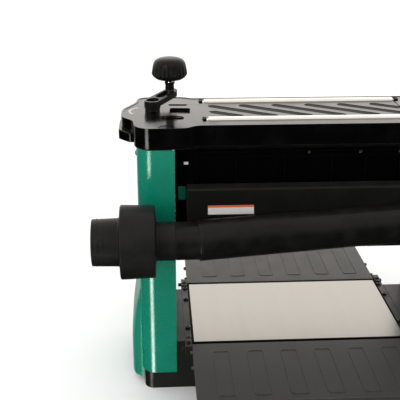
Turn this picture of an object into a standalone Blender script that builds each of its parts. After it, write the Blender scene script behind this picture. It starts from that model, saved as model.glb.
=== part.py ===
"""Bench-top thickness planer, 13 in wide, 6 in thick, with a helical cutterhead.

Frame: +X runs along the cutterhead towards the belt drive, +Y points to the infeed side and +Z up.
The origin lies on the underside of the base, below the middle of the bed plate.
Lengths in this script are millimetres; MM turns them into metres where a mesh is made.
"""
import math

import bmesh
import bpy
from mathutils import Matrix, Vector

MM = 0.001
GAP = 0.3
WELD = 0.00001

# Driving dimensions
BED_HALF = 167.0
BED_DEPTH_HALF = 97.0
BED_TOP = 85.0
BODY_X = 12.0
COLUMN_OUT = 261.0
COLUMN_IN = 206.0
COLUMN_Y = 97.0
SHEET = 1.5
COVER_TOP = 430.0
COVER_SKIRT = 31.0
COVER_WALL = 3.0
OPENING = 146.0
CUTTER_R = 24.3
FEED_R = 17.0
FEED_Y = 52.0
POST_X = 237.0
POST_Y = 62.0
POST_R = 11.0
SCREW_Y = 8.0
SCREW_R = 8.0
SCREW_END_R = 5.0
BED_FLOOR = 66.7
BED_SIDE = 181.3
COLUMN_FOOT = 30.0
BASE_HALF = 257.0
BASE_NEAR = -94.0
BASE_FAR = 80.0
POCKET_HALF = (172.0, 76.0, 57.0)
TABLE_HALF = 170.0
TABLE_START = 103.5
TABLE_END = 255.0
HINGE_Y = 108.0
HINGE_Z = 79.0
HINGE_R = 3.0
STOCK_ROLLER_R = 6.0
STOCK_ROLLER_Y = {"near": -44.0, "far": 63.0}
STOCK_ROLLER_START = -144.0
STOCK_ROLLER_LENGTH = 306.0
AXLE_R = 3.0
LOBE_DEPTH = 11.0
GRIP_BOTTOM = 397.0
GRIP_TOP_WALL = 6.0
CHAIN_LOW = 8.0
CHAIN_HIGH = 12.0
SPROCKET_R = 13.0
CRANK_REACH = 43.0
CRANK_ANGLE = math.radians(51.0)
DUCT_Y = -152.0
DUCT_Z = 283.0
PIPE_R = 27.0
SPOUT_END = -312.0
CHUTE_START = -163.0
CHUTE_END = (188.0, -118.0, 293.0)
HOOD_TOP = (-100.0, 340.0)
HOOD_BOTTOM = (-118.0, 262.0)
HOOD_HALF = 178.0
HOOD_WALL = 3.0
CASTING_IN = 168.3
CASTING_OUT = 178.0
SHAFT_R = 8.0
BEARING_R = 13.0
MOTOR_Y = 20.0
MOTOR_Z = 342.0
MOTOR_PULLEY_R = 12.0
CUTTER_PULLEY_R = 20.0
BELT_START = 190.0
BELT_END = 202.0
FRONT_COVER_START = -180.0
FRONT_COVER_END = 212.0
SWITCH_X = 243.5
PADDLE_Y = 133.5
PADDLE_Z = 349.0
RESET_Z = 286.0

# Places worked out from them
CUTTER_Z = BED_TOP + OPENING + CUTTER_R
FEED_Z = BED_TOP + OPENING - 1.0 + FEED_R
COVER_BOTTOM = COVER_TOP - COVER_SKIRT
FRAME_BOTTOM = COVER_BOTTOM - 0.7
STOCK_ROLLER_Z = COVER_TOP - 3.0
SIDES = {"crank": -1, "drive": 1}
WORDS = {-1: "left", 1: "right"}

COLOURS = {
    "green_paint": ((0.0, 0.25, 0.14), 0.25, 0.0),
    "gloss_black": ((0.012, 0.012, 0.012), 0.2, 0.0),
    "satin_black": ((0.02, 0.02, 0.02), 0.45, 0.0),
    "black_casting": ((0.02, 0.02, 0.02), 0.5, 0.2),
    "dark_casting": ((0.09, 0.085, 0.08), 0.5, 0.3),
    "grey_casting": ((0.13, 0.12, 0.115), 0.5, 0.2),
    "stainless": ((0.55, 0.52, 0.49), 0.3, 1.0),
    "chrome": ((0.8, 0.8, 0.8), 0.08, 1.0),
    "steel": ((0.45, 0.45, 0.46), 0.3, 1.0),
    "aluminium": ((0.6, 0.6, 0.62), 0.4, 1.0),
    "brass": ((0.6, 0.45, 0.2), 0.35, 1.0),
    "rubber": ((0.03, 0.03, 0.03), 0.8, 0.0),
    "red_plastic": ((0.6, 0.03, 0.02), 0.4, 0.0),
}


def clear_scene():
    for old in list(bpy.data.objects):
        bpy.data.objects.remove(old, do_unlink=True)


def collection(name):
    group = bpy.data.collections.new(name)
    bpy.context.scene.collection.children.link(group)
    return group


def paint(part, colour):
    """Give a part its own material in one of the machine's finishes."""
    rgb, roughness, metallic = COLOURS[colour]
    mat = bpy.data.materials.new(part.name + "_" + colour)
    mat.use_nodes = True
    shader = mat.node_tree.nodes["Principled BSDF"]
    shader.inputs["Base Color"].default_value = (*rgb, 1.0)
    shader.inputs["Roughness"].default_value = roughness
    shader.inputs["Metallic"].default_value = metallic
    mat.diffuse_color = (*rgb, 1.0)
    part.data.materials.clear()
    part.data.materials.append(mat)
    return part


def add_object(name, mesh, location, turn=Matrix()):
    """Link a mesh as a tool object: as_part makes a part of it."""
    made = bpy.data.objects.new(name, mesh)
    made.matrix_world = Matrix.Translation(Vector(location) * MM) @ turn
    made.hide_render = True
    made.display_type = "WIRE"
    TOOLS.objects.link(made)
    return made


def as_part(made, name, colour):
    made.name = name
    made.data.name = name
    made.hide_render = False
    made.display_type = "TEXTURED"
    TOOLS.objects.unlink(made)
    PARTS.objects.link(made)
    return paint(made, colour)


def box(low, high):
    bm = bmesh.new()
    bmesh.ops.create_cube(bm, size=1.0)
    size = [(b - a) * MM for a, b in zip(low, high)]
    bmesh.ops.scale(bm, vec=size, verts=bm.verts)
    mesh = bpy.data.meshes.new("box")
    bm.to_mesh(mesh)
    bm.free()
    return add_object("box", mesh, [(a + b) / 2 for a, b in zip(low, high)])


def rod(start, end, radius, end_radius=None, sides=20):
    """A cylinder, or a cone, from one point to another."""
    start, end = Vector(start), Vector(end)
    along = end - start
    bm = bmesh.new()
    bmesh.ops.create_cone(
        bm, cap_ends=True, segments=sides, radius1=radius * MM,
        radius2=(radius if end_radius is None else end_radius) * MM, depth=along.length * MM,
    )
    mesh = bpy.data.meshes.new("rod")
    bm.to_mesh(mesh)
    bm.free()
    mesh.shade_smooth()
    mesh.set_sharp_from_angle(angle=math.radians(40))
    turn = along.to_track_quat("Z", "Y").to_matrix().to_4x4()
    return add_object("rod", mesh, (start + end) / 2, turn)


def turned(profile, base, direction, steps=24):
    """Spin a profile of (radius, height) points, top to bottom, about a line from base."""
    mesh = bpy.data.meshes.new("turned")
    points = [(radius * MM, 0.0, height * MM) for radius, height in profile]
    mesh.from_pydata(points, [(i, i + 1) for i in range(len(points) - 1)], [])
    turn = Vector(direction).to_track_quat("Z", "Y").to_matrix().to_4x4()
    made = add_object("turned", mesh, base, turn)
    screw = made.modifiers.new("Turn", "SCREW")
    screw.axis = "Z"
    screw.steps = screw.render_steps = steps
    screw.use_merge_vertices = True
    screw.merge_threshold = WELD
    screw.use_smooth_shade = False
    return made


PLANES = {
    "Z": Matrix.Identity(4),
    "X": Matrix(((0, 0, 1, 0), (1, 0, 0, 0), (0, 1, 0, 0), (0, 0, 0, 1))),
    "Y": Matrix(((1, 0, 0, 0), (0, 0, -1, 0), (0, 1, 0, 0), (0, 0, 0, 1))),
}
NORMALS = {"X": 0, "Y": 1, "Z": 2}


def prism(outlines, low, high, axis="Z"):
    """Extrude flat outlines from low to high along an axis; inner outlines are holes.

    Points are (x, y) for Z, (y, z) for X and (x, z) for Y.
    """
    curve = bpy.data.curves.new("outline", "CURVE")
    curve.dimensions = "2D"
    curve.fill_mode = "BOTH"
    curve.extrude = (high - low) / 2 * MM
    for outline in outlines:
        spline = curve.splines.new("POLY")
        spline.points.add(len(outline) - 1)
        for point, (u, v) in zip(spline.points, outline):
            point.co = (u * MM, v * MM, 0.0, 1.0)
        spline.use_cyclic_u = True
    guide = bpy.data.objects.new("outline", curve)
    TOOLS.objects.link(guide)
    bpy.context.view_layer.update()
    solid = guide.evaluated_get(bpy.context.evaluated_depsgraph_get())
    mesh = bpy.data.meshes.new_from_object(solid)
    bpy.data.objects.remove(guide, do_unlink=True)
    bm = bmesh.new()
    bm.from_mesh(mesh)
    bmesh.ops.remove_doubles(bm, verts=bm.verts, dist=WELD)
    bmesh.ops.recalc_face_normals(bm, faces=bm.faces)
    bm.to_mesh(mesh)
    bm.free()
    location = [0.0, 0.0, 0.0]
    location[NORMALS[axis]] = (low + high) / 2
    return add_object("prism", mesh, location, PLANES[axis])


def combine(target, tools, operation):
    for tool in tools:
        step = target.modifiers.new(operation.title(), "BOOLEAN")
        step.operation = operation
        step.object = tool
        step.solver = "EXACT"
    return target


def join(target, *tools):
    return combine(target, tools, "UNION")


def cut(target, *tools):
    return combine(target, tools, "DIFFERENCE")


def circle(centre, radius, steps=20, start=0.0, sweep=2 * math.pi):
    """Points on a circle; a part of it, with both ends, when sweep isn't a full turn."""
    full = abs(sweep) >= 2 * math.pi
    spans = steps if full else steps - 1
    return [
        (centre[0] + radius * math.cos(start + sweep * i / spans),
         centre[1] + radius * math.sin(start + sweep * i / spans))
        for i in range(steps)
    ]


def rounded(corners, steps=4):
    """An outline through corners (u, v, radius), where each radius becomes an arc."""
    outline = []
    for i, (u, v, radius) in enumerate(corners):
        here = Vector((u, v))
        if not radius:
            outline.append((u, v))
            continue
        before = (Vector(corners[i - 1][:2]) - here).normalized()
        after = (Vector(corners[(i + 1) % len(corners)][:2]) - here).normalized()
        half = before.angle(after) / 2
        centre = here + (before + after).normalized() * radius / math.sin(half)
        first = here + before * radius / math.tan(half) - centre
        last = here + after * radius / math.tan(half) - centre
        turn = first.angle_signed(last)
        for k in range(steps + 1):
            arm = Matrix.Rotation(-turn * k / steps, 2) @ first
            outline.append(tuple(centre + arm))
    return outline


def moved(outline, distance, closed=True):
    """The outline shifted to its left by a distance: inwards when it runs counter-clockwise."""
    shifted = []
    count = len(outline)
    for i, point in enumerate(outline):
        here = Vector(point)
        back = Vector(outline[i - 1]) if closed or i > 0 else None
        on = Vector(outline[(i + 1) % count]) if closed or i < count - 1 else None
        before = (here - back).normalized() if back else (on - here).normalized()
        after = (on - here).normalized() if on else before
        normal = Vector((-(before + after).y, (before + after).x)).normalized()
        reach = distance / max(0.3, normal.dot(Vector((-before.y, before.x))))
        shifted.append(tuple(here + normal * reach))
    return shifted


def ribbon(path, thickness):
    """A closed outline of even thickness along a path, on its left."""
    return path + moved(path, thickness, closed=False)[::-1]


def loop_round(centre_a, radius_a, centre_b, radius_b, steps=14):
    """The outline of a taut loop around two circles, counter-clockwise."""
    a, b = Vector(centre_a), Vector(centre_b)
    line = b - a
    heading = math.atan2(line.y, line.x)
    lean = math.acos((radius_a - radius_b) / line.length)
    far = circle(b, radius_b, steps, heading - lean, 2 * lean)
    back = circle(a, radius_a, steps, heading + lean, 2 * math.pi - 2 * lean)
    return far + back


def side_x(side, reach):
    """The X of a place that lies a reach from the body's middle plane on one side."""
    return BODY_X + side * reach


def span(side, reach_a, reach_b):
    return sorted((side_x(side, reach_a), side_x(side, reach_b)))


def mirrored(outline, side):
    """Reaches from the middle plane turned into X on one side."""
    return [(side_x(side, u), *rest) for u, *rest in outline]


# Base and bed


def make_base():
    plan = [(-BASE_HALF, BASE_NEAR, 14), (BASE_HALF, BASE_NEAR, 14), (BASE_HALF, BASE_FAR, 6),
            (-BASE_HALF, BASE_FAR, 6)]
    base = prism([mirrored(rounded(plan), 1)], 0, BED_TOP - GAP)
    pocket_x, pocket_y, pocket_top = POCKET_HALF
    chain_half, plate_half = BASE_HALF - 2.5, BASE_HALF - 4
    cut(
        base,
        box((-BED_SIDE, -110, BED_FLOOR), (BED_SIDE, 110, 100)),
        box((side_x(-1, chain_half), -77, -5), (side_x(1, chain_half), 77, 24)),
        box((-pocket_x, -pocket_y, -6), (pocket_x, pocket_y, pocket_top)),
    )
    for side in SIDES.values():
        x = side_x(side, POST_X)
        cut(base, rod((x, SCREW_Y, 15), (x, SCREW_Y, 99), SCREW_R + 0.5))
        for y in (-POST_Y, POST_Y):
            cut(base, rod((x, y, 30), (x, y, 99), POST_R + GAP))
    as_part(base, "base_casting", "dark_casting")
    plate = box((side_x(-1, plate_half), -75.5, 0), (side_x(1, plate_half), 75.5, 2))
    as_part(plate, "bottom_cover", "steel")


def make_bed():
    bed = box((-169.7, -96.5, 67), (169.7, 96.5, BED_TOP - 2.3))
    as_part(bed, "bed_casting", "black_casting")
    plate = box((-BED_HALF, -BED_DEPTH_HALF, BED_TOP - 2), (BED_HALF, BED_DEPTH_HALF, BED_TOP))
    as_part(plate, "bed_plate", "stainless")
    for side, word in WORDS.items():
        inner, outer = sorted((side * (TABLE_HALF + GAP), side * (BED_SIDE - GAP)))
        rail = box((inner, -97.5, BED_FLOOR + GAP), (outer, 97.5, BED_TOP - 0.8))
        for end in (-1, 1):
            near, far = sorted((end * 90.0, end * 114.0))
            join(rail, box((inner + 0.3, near, 70), (outer - 0.4, far, 87)))
            bore = (end * HINGE_Y, HINGE_Z)
            cut(rail, rod((inner - 5, *bore), (outer + 5, *bore), HINGE_R + 0.1, sides=16))
        as_part(rail, "bed_rail_" + word, "dark_casting")


def make_table(name, end):
    """An extension table with a deeper hinge edge; end is +1 for infeed and -1 for outfeed."""
    top = BED_TOP - GAP
    profile = [(end * TABLE_START, top - 13), (end * (HINGE_Y + 8), top - 13),
               (end * (HINGE_Y + 11), top - 8), (end * TABLE_END, top - 8),
               (end * TABLE_END, top), (end * TABLE_START, top)]
    hole = circle((end * HINGE_Y, HINGE_Z), HINGE_R + GAP, 16)
    table = prism([profile, hole], -TABLE_HALF, TABLE_HALF, "X")
    as_part(table, name, "grey_casting")
    return table


def make_tables():
    for name, end in (("infeed", 1), ("outfeed", -1)):
        hinge = pivot(name + "_table_hinge", (0, end * HINGE_Y, HINGE_Z))
        attach(make_table(name + "_table", end), hinge)
        pin = rod((-186, end * HINGE_Y, HINGE_Z), (186, end * HINGE_Y, HINGE_Z), HINGE_R, sides=16)
        as_part(pin, name + "_hinge_rod", "steel")


# Columns, top frame and covers


def make_columns():
    for label, side in SIDES.items():
        x = side_x(side, POST_X)
        for y, place in ((-POST_Y, "outfeed"), (POST_Y, "infeed")):
            post = rod((x, y, COLUMN_FOOT + GAP), (x, y, FRAME_BOTTOM - GAP), POST_R)
            as_part(post, "guide_post_%s_%s" % (label, place), "steel")
        corners = [(COLUMN_IN, -COLUMN_Y, 0), (COLUMN_OUT, -COLUMN_Y, 16), (COLUMN_OUT, COLUMN_Y, 12),
                   (COLUMN_IN, COLUMN_Y, 0)]
        path = rounded(corners, 6)
        wall = mirrored(ribbon(path, SHEET), side)
        skin = prism([wall], COLUMN_FOOT, COVER_BOTTOM - GAP)
        as_part(skin, label + "_side_cover", "green_paint")
        belly = [(261.4, 12), (277, 12), (277, 60), (276.2, 88), (273.6, 112), (268, 142), (261.4, 168)]
        panel = prism([mirrored(belly, side)], -74, 74, "Y")
        as_part(panel, "lower_side_panel_" + WORDS[side], "green_paint")


def make_top_frame():
    top = FRAME_BOTTOM + 7.7
    frame = box((side_x(-1, 253), -72, FRAME_BOTTOM), (side_x(1, 253), 76, top))
    cut(frame, box((-150, -34, 380), (174, 50, 420)))
    for y in STOCK_ROLLER_Y.values():
        for x in (-151.5, 164.0):
            join(frame, box((x, y - 6, top - 2), (x + 5.5, y + 6, COVER_TOP + 1.4)))
        cut(frame, rod((-160, y, STOCK_ROLLER_Z), (180, y, STOCK_ROLLER_Z), AXLE_R + GAP, sides=16))
    for side in SIDES.values():
        x = side_x(side, POST_X)
        cut(frame, rod((x, SCREW_Y, 380), (x, SCREW_Y, 420), SCREW_R + 0.4))
    as_part(frame, "top_frame", "black_casting")


def cover_outline():
    """The top cover's plan: a straight middle between two deeper ends."""
    half = [(174, 83, 22), (190, 92, 22), (262, 92, 14), (262, -93, 16), (190, -93, 22), (174, -79, 22)]
    left = mirrored(half, -1)
    right = mirrored(half, 1)[::-1]
    return rounded(left + right)


def lobe_outline(side):
    corners = [(240, 52, 0), (264, 52, 6), (284, 30, 20), (284, -34, 14), (270, -46, 8), (240, -46, 0)]
    points = mirrored(rounded(corners), side)
    return points if side < 0 else points[::-1]


def make_top_cover():
    outline = cover_outline()
    cover = prism([outline], COVER_BOTTOM, COVER_TOP)
    lobes = [lobe_outline(side) for side in SIDES.values()]
    lobe_bottom = COVER_TOP - LOBE_DEPTH
    for lobe in lobes:
        join(cover, prism([lobe], lobe_bottom, COVER_TOP))
    cut(cover, prism([moved(outline, COVER_WALL)], COVER_BOTTOM - 5, COVER_TOP - COVER_WALL))
    for lobe in lobes:
        cut(cover, prism([moved(lobe, COVER_WALL)], lobe_bottom - 5, COVER_TOP - COVER_WALL))
    for y in STOCK_ROLLER_Y.values():
        cut(cover, box((-152, y - 7.2, 410), (170, y + 7.2, 450)))
    x = side_x(-1, POST_X)
    cut(cover, rod((x, SCREW_Y, 415), (x, SCREW_Y, 445), 7.0))
    as_part(cover, "top_cover", "gloss_black")


def make_carry_handles():
    """A grip below each lobe, hollow from below for the fingers."""
    for side in SIDES.values():
        corners = [(262.6, 46, 0), (272, 46, 6), (288, 30, 14), (288, -38, 10), (274, -50, 6),
                   (262.6, -50, 0)]
        outline = mirrored(rounded(corners), side)
        top = COVER_TOP - LOBE_DEPTH - GAP
        grip = prism([outline], GRIP_BOTTOM, top)
        low, high = span(side, 266, 283)
        cut(grip, box((low, -38, GRIP_BOTTOM - 17), (high, 34, top - GRIP_TOP_WALL + GAP)))
        as_part(grip, "carry_handle_" + WORDS[side], "satin_black")


def make_stock_rollers():
    """Bright rollers in the cover that carry boards back over the machine."""
    for place, y in STOCK_ROLLER_Y.items():
        axle = pivot(place + "_stock_roller_axis", (0, y, STOCK_ROLLER_Z))
        length, stub = STOCK_ROLLER_LENGTH, 6.5
        profile = [(0, length + stub), (AXLE_R, length + stub), (AXLE_R, length), (STOCK_ROLLER_R, length),
                   (STOCK_ROLLER_R, 0), (AXLE_R, 0), (AXLE_R, -stub), (0, -stub)]
        roller = turned(profile, (STOCK_ROLLER_START, y, STOCK_ROLLER_Z), (1, 0, 0), 24)
        attach(as_part(roller, place + "_stock_roller", "chrome"), axle)


# Lift: crank, leadscrews, sprockets and chain


def leadscrew(side, top):
    profile = [(0, top), (SCREW_END_R, top), (SCREW_END_R, 412), (SCREW_R, 412), (SCREW_R, 24.5),
               (SCREW_END_R, 24.5), (SCREW_END_R, 5), (0, 5)]
    return turned(profile, (side_x(side, POST_X), SCREW_Y, 0), (0, 0, 1), 24)


def sprocket(side):
    centre = (side_x(side, POST_X), SCREW_Y)
    teeth = 14
    rim = []
    for i in range(4 * teeth):
        radius = SPROCKET_R if i % 4 in (0, 1) else SPROCKET_R - 1.5
        angle = 2 * math.pi * i / (4 * teeth)
        rim.append((centre[0] + radius * math.cos(angle), centre[1] + radius * math.sin(angle)))
    return prism([rim, circle(centre, SCREW_END_R + GAP)], CHAIN_LOW, CHAIN_HIGH)


def make_lift():
    for label, side in SIDES.items():
        x = side_x(side, POST_X)
        axis = pivot(label + "_screw_axis", (x, SCREW_Y, 0))
        top = COVER_TOP + 10.7 if label == "crank" else 418
        attach(as_part(leadscrew(side, top), label + "_leadscrew", "steel"), axis)
        attach(as_part(sprocket(side), label + "_sprocket", "steel"), axis)
        if label == "crank":
            make_crank(x, axis)
    ends = [(side_x(-1, POST_X), SCREW_Y), (side_x(1, POST_X), SCREW_Y)]
    outside, inside = SPROCKET_R + 4, SPROCKET_R + 0.4
    outer = loop_round(ends[0], outside, ends[1], outside)
    inner = loop_round(ends[0], inside, ends[1], inside)
    as_part(prism([outer, inner], CHAIN_LOW, CHAIN_HIGH), "lift_chain", "steel")


def make_crank(x, axis):
    knob_x = x + CRANK_REACH * math.cos(CRANK_ANGLE)
    knob_y = SCREW_Y + CRANK_REACH * math.sin(CRANK_ANGLE)
    deck = COVER_TOP + GAP
    arm = prism([loop_round((x, SCREW_Y), 12.5, (knob_x, knob_y), 12.0, 16)], deck + 6.7, deck + 15.7)
    join(arm, rod((x, SCREW_Y, deck), (x, SCREW_Y, deck + 14), 12.4))
    join(arm, rod((knob_x, knob_y, deck + 12), (knob_x, knob_y, deck + 61), 5))
    cut(arm, rod((x, SCREW_Y, deck - 2), (x, SCREW_Y, deck + 10.8), SCREW_END_R + GAP))
    attach(as_part(arm, "crank_arm", "satin_black"), axis)
    bottom = 16
    profile = [(0, 75), (12, 74.6), (20, 72.5), (24.5, 69), (26, 64), (27.5, 50), (26, 46), (22.5, 42),
               (14, 40), (7.5, 38), (6.8, 34), (7, bottom), (5.3, bottom), (5.3, 61.5), (0, 61.5)]
    knob = turned(profile, (knob_x, knob_y, deck), (0, 0, 1), 24)
    spin = pivot("crank_knob_axis", (knob_x, knob_y, deck))
    attach(as_part(knob, "crank_knob", "satin_black"), spin)
    attach(spin, axis)


# Head


def make_side_castings():
    bearing = (0, CUTTER_Z)
    for label, side in SIDES.items():
        inner, outer = sorted((side * CASTING_IN, side * CASTING_OUT))
        shape = [(-84, 232), (84, 232), (84, 330), (60, 360), (-40, 360), (-84, 340)]
        holes = [circle(bearing, BEARING_R + GAP)]
        for y in (-FEED_Y, FEED_Y):
            holes.append(circle((y, FEED_Z), SHAFT_R + GAP, 16))
        if label == "drive":
            holes.append(circle((MOTOR_Y, MOTOR_Z), SHAFT_R, 16))
        casting = prism([shape, *holes], inner, outer, "X")
        ear_low, ear_high = sorted((side * 174.0, side_x(side, 218)))
        if label == "crank":
            join(casting, box((ear_low, -24, 314), (ear_high, 40, 344)))
        else:
            for y in (-76, 57):
                join(casting, box((ear_low, y, 281), (ear_high, y + 19, 343)))
        low, high = span(side, 212, 224)
        join(casting, box((low, -78, 262), (high, 78, 345)))
        x = side_x(side, POST_X)
        low, high = span(side, 216, POST_X)
        join(casting, box((low, -4, 315), (high, 20, 342)))
        join(casting, rod((x, SCREW_Y, 313), (x, SCREW_Y, 346), 16))
        for y in (-POST_Y, POST_Y):
            join(casting, rod((x, y, 255), (x, y, 352), 16))
            cut(casting, rod((x, y, 240), (x, y, 370), POST_R + GAP))
        cut(casting, rod((x, SCREW_Y, 300), (x, SCREW_Y, 360), 12))
        as_part(casting, "head_%s_casting" % WORDS[side], "black_casting")
        nut = prism([circle((x, SCREW_Y), 11.7), circle((x, SCREW_Y), SCREW_R + 0.2)], 315, 344)
        as_part(nut, "lift_nut_" + WORDS[side], "brass")


def make_head_deck():
    as_part(box((-168, -80, 292.3), (168, 80, 298.3)), "head_top_plate", "black_casting")
    path = [(-28, 268.5), (-40, 274), (-82, 274)]
    as_part(prism([ribbon(path, 2)], -167, 167, "X"), "chip_deflector", "steel")


def make_motor():
    profile = [(0, 240), (14, 240), (14, 236), (32, 234), (38, 226), (38, 12), (30, 0), (0, 0)]
    housing = turned(profile, (-110, MOTOR_Y, MOTOR_Z), (1, 0, 0))
    cut(housing, rod((60, MOTOR_Y, MOTOR_Z), (140, MOTOR_Y, MOTOR_Z), 5.3))
    as_part(housing, "motor_housing", "black_casting")
    axis = pivot("motor_axis", (0, MOTOR_Y, MOTOR_Z))
    profile = [(0, 208), (5, 208), (5, 204), (MOTOR_PULLEY_R, 204), (MOTOR_PULLEY_R, 188), (5, 188),
               (5, 61), (0, 61)]
    rotor = turned(profile, (0, MOTOR_Y, MOTOR_Z), (1, 0, 0), 24)
    attach(as_part(rotor, "motor_rotor", "steel"), axis)
    hood = box((-164, -66, 298.6), (164, 78, 388.6))
    cut(hood, box((-161.5, -63.5, 280), (161.5, 75.5, 386.1)), box((150, 8, 280), (170, 32, 360)))
    as_part(hood, "motor_hood", "satin_black")
    pulleys = [((MOTOR_Y, MOTOR_Z), MOTOR_PULLEY_R), ((0, CUTTER_Z), CUTTER_PULLEY_R)]
    outer, inner = (
        loop_round(pulleys[1][0], pulleys[1][1] + lift, pulleys[0][0], pulleys[0][1] + lift)
        for lift in (3.3, GAP)
    )
    as_part(prism([outer, inner], BELT_START, BELT_END, "X"), "drive_belt", "rubber")


def make_cutterhead():
    axis = pivot("cutterhead_axis", (0, 0, CUTTER_Z))
    profile = [(0, 206), (SHAFT_R, 206), (SHAFT_R, 166), (CUTTER_R, 166), (CUTTER_R, -166),
               (SHAFT_R, -166), (SHAFT_R, -182), (0, -182)]
    head = turned(profile, (0, 0, CUTTER_Z), (1, 0, 0))
    attach(as_part(head, "cutterhead", "steel"), axis)
    outlines = [circle((0, CUTTER_Z), CUTTER_PULLEY_R, 32), circle((0, CUTTER_Z), SHAFT_R + GAP)]
    pulley = prism(outlines, BELT_START - 2, BELT_END + 2, "X")
    attach(as_part(pulley, "cutterhead_pulley", "aluminium"), axis)
    for side, word in WORDS.items():
        low, high = sorted((side * CASTING_IN, side * CASTING_OUT))
        ring = prism([circle((0, CUTTER_Z), BEARING_R), circle((0, CUTTER_Z), SHAFT_R + 0.2)], low, high, "X")
        as_part(ring, "cutterhead_bearing_" + word, "steel")


def make_feed_rollers():
    for place, y in (("infeed", FEED_Y), ("outfeed", -FEED_Y)):
        axis = pivot(place + "_roller_axis", (0, y, FEED_Z))
        profile = [(0, 184), (SHAFT_R, 184), (SHAFT_R, 164), (FEED_R, 164), (FEED_R, -164),
                   (SHAFT_R, -164), (SHAFT_R, -184), (0, -184)]
        roller = turned(profile, (0, y, FEED_Z), (1, 0, 0), 28)
        attach(as_part(roller, place + "_feed_roller", "rubber"), axis)


def make_rear_hood():
    outer = [(-84.3, 343), HOOD_TOP, HOOD_BOTTOM, (-100, 244), (-84.3, 244)]
    inner = [(-70, 339.5), (-97.3, 337), (-114.6, 262.9), (-98.8, 247), (-70, 247)]
    inside = HOOD_HALF - HOOD_WALL
    hood = prism([outer], -HOOD_HALF, HOOD_HALF, "X")
    cut(hood, prism([inner], -inside, inside, "X"), box((-148, -130, 270), (170, -104, 300)))
    as_part(hood, "rear_hood", "gloss_black")


def make_chute():
    """A tapered duct along the hood that ends in a round spigot."""
    chute = rod((CHUTE_START, DUCT_Y, DUCT_Z), CHUTE_END, PIPE_R + 4, PIPE_R, 28)
    join(chute, box((-152, -138, 265), (182, -95, 306)))
    join(chute, rod((-195, DUCT_Y, DUCT_Z), (-140, DUCT_Y, DUCT_Z), PIPE_R, sides=28))
    (top_y, top_z), (bottom_y, bottom_z) = HOOD_TOP, HOOD_BOTTOM
    behind = [(top_y + 11.1, top_z + 50), (top_y - 0.4, top_z), (bottom_y - 0.4, bottom_z),
              (bottom_y - 12, bottom_z - 52), (-20, bottom_z - 52), (-20, top_z + 50)]
    cut(chute, prism([behind], -300, 300, "X"))
    cut(chute, rod((-160, DUCT_Y + 0.3, DUCT_Z), (182, -118.6, 292.8), 28, 24, 28))
    cut(chute, box((-148, -128, 269), (176, -80, 302)))
    cut(chute, rod((-210, DUCT_Y, DUCT_Z), (-150, DUCT_Y, DUCT_Z), PIPE_R - 3, sides=28))
    as_part(chute, "dust_chute", "satin_black")


def make_adapter():
    """A stepped dust fitting: sleeve, 4 in collar and 2.5 in spout in one moulding."""
    profile = [(24, -195.3), (PIPE_R, -195.3), (PIPE_R, -223), (50.5, -224), (52.5, -272), (33, -273),
               (32.5, SPOUT_END), (29.5, SPOUT_END), (29.5, -268), (24, -250)]
    outline = [(radius, -height) for radius, height in profile]
    outline.append(outline[0])
    fitting = turned(outline[::-1], (0, DUCT_Y, DUCT_Z), (-1, 0, 0), 32)
    as_part(fitting, "dust_adapter", "satin_black")


def make_front_cover():
    outer = [(84.3, 246), (104, 246), (112, 256), (112, 318), (100, 330), (84.3, 330)]
    inner = [(70, 249), (102.8, 249), (109, 257), (109, 317), (98.8, 327), (70, 327)]
    front = prism([outer], FRONT_COVER_START, FRONT_COVER_END, "X")
    cut(front, prism([inner], FRONT_COVER_START + 3, FRONT_COVER_END - 3, "X"))
    as_part(front, "front_cover", "green_paint")


def make_drive_cover():
    outer = [(-66, 228.7), (66, 228.7), (66, 270), (54, 278), (54, 384), (-12, 384), (-54, 300),
             (-54, 278), (-66, 270)]
    cover = prism([outer], 178.3, 213, "X")
    cut(cover, prism([moved(outer, 2.5)], 170, 210.5, "X"))
    as_part(cover, "drive_cover", "satin_black")


def make_pointer():
    pointer = box((-189, 50, 336), (-178.3, 104, 342))
    join(pointer, box((-208, 99.5, 337), (-184, 103.5, 341)))
    as_part(pointer, "height_pointer", "red_plastic")
    as_part(box((-236, 97.3, 180), (-204, 98.3, 352)), "depth_scale", "aluminium")


# Controls


def make_controls():
    switch = box((225, 97.3, 276), (262, 126, 370))
    for low in (226, 258.4):
        join(switch, box((low, 120, PADDLE_Z - 7), (low + 2.6, 138, PADDLE_Z + 7)))
    cut(switch, rod((220, PADDLE_Y, PADDLE_Z), (270, PADDLE_Y, PADDLE_Z), 1.8, sides=12))
    cut(switch, rod((SWITCH_X, 116, RESET_Z), (SWITCH_X, 140, RESET_Z), 5.3, sides=16))
    as_part(switch, "switch_box", "satin_black")
    axis = pivot("switch_paddle_axis", (SWITCH_X, PADDLE_Y, PADDLE_Z))
    paddle = box((230, PADDLE_Y - 2.5, 296), (257, PADDLE_Y + 2.5, PADDLE_Z + 4))
    join(paddle, rod((227, PADDLE_Y, PADDLE_Z), (260, PADDLE_Y, PADDLE_Z), 1.5, sides=12))
    attach(as_part(paddle, "switch_paddle", "red_plastic"), axis)
    axis = pivot("reset_button_axis", (SWITCH_X, 119, RESET_Z))
    button = rod((SWITCH_X, 119, RESET_Z), (SWITCH_X, 130, RESET_Z), 5, sides=16)
    attach(as_part(button, "reset_button", "red_plastic"), axis)
    profile = [(0, 22), (14, 22), (15, 20), (15, 8), (6, 6), (6, 0), (0, 0)]
    axis = pivot("depth_stop_axis", (196, 80.3, 45))
    knob = turned(profile, (196, 80.3, 45), (0, 1, 0), 24)
    attach(as_part(knob, "depth_stop_knob", "satin_black"), axis)
    profile = [(3.5, 16), (6, 16), (8, 6), (10, 5), (10, 0), (3.5, 0), (3.5, 16)]
    gland = turned(profile, (246, -COLUMN_Y - GAP, 70), (0, -1, 0), 20)
    as_part(gland, "cord_gland", "satin_black")


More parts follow.
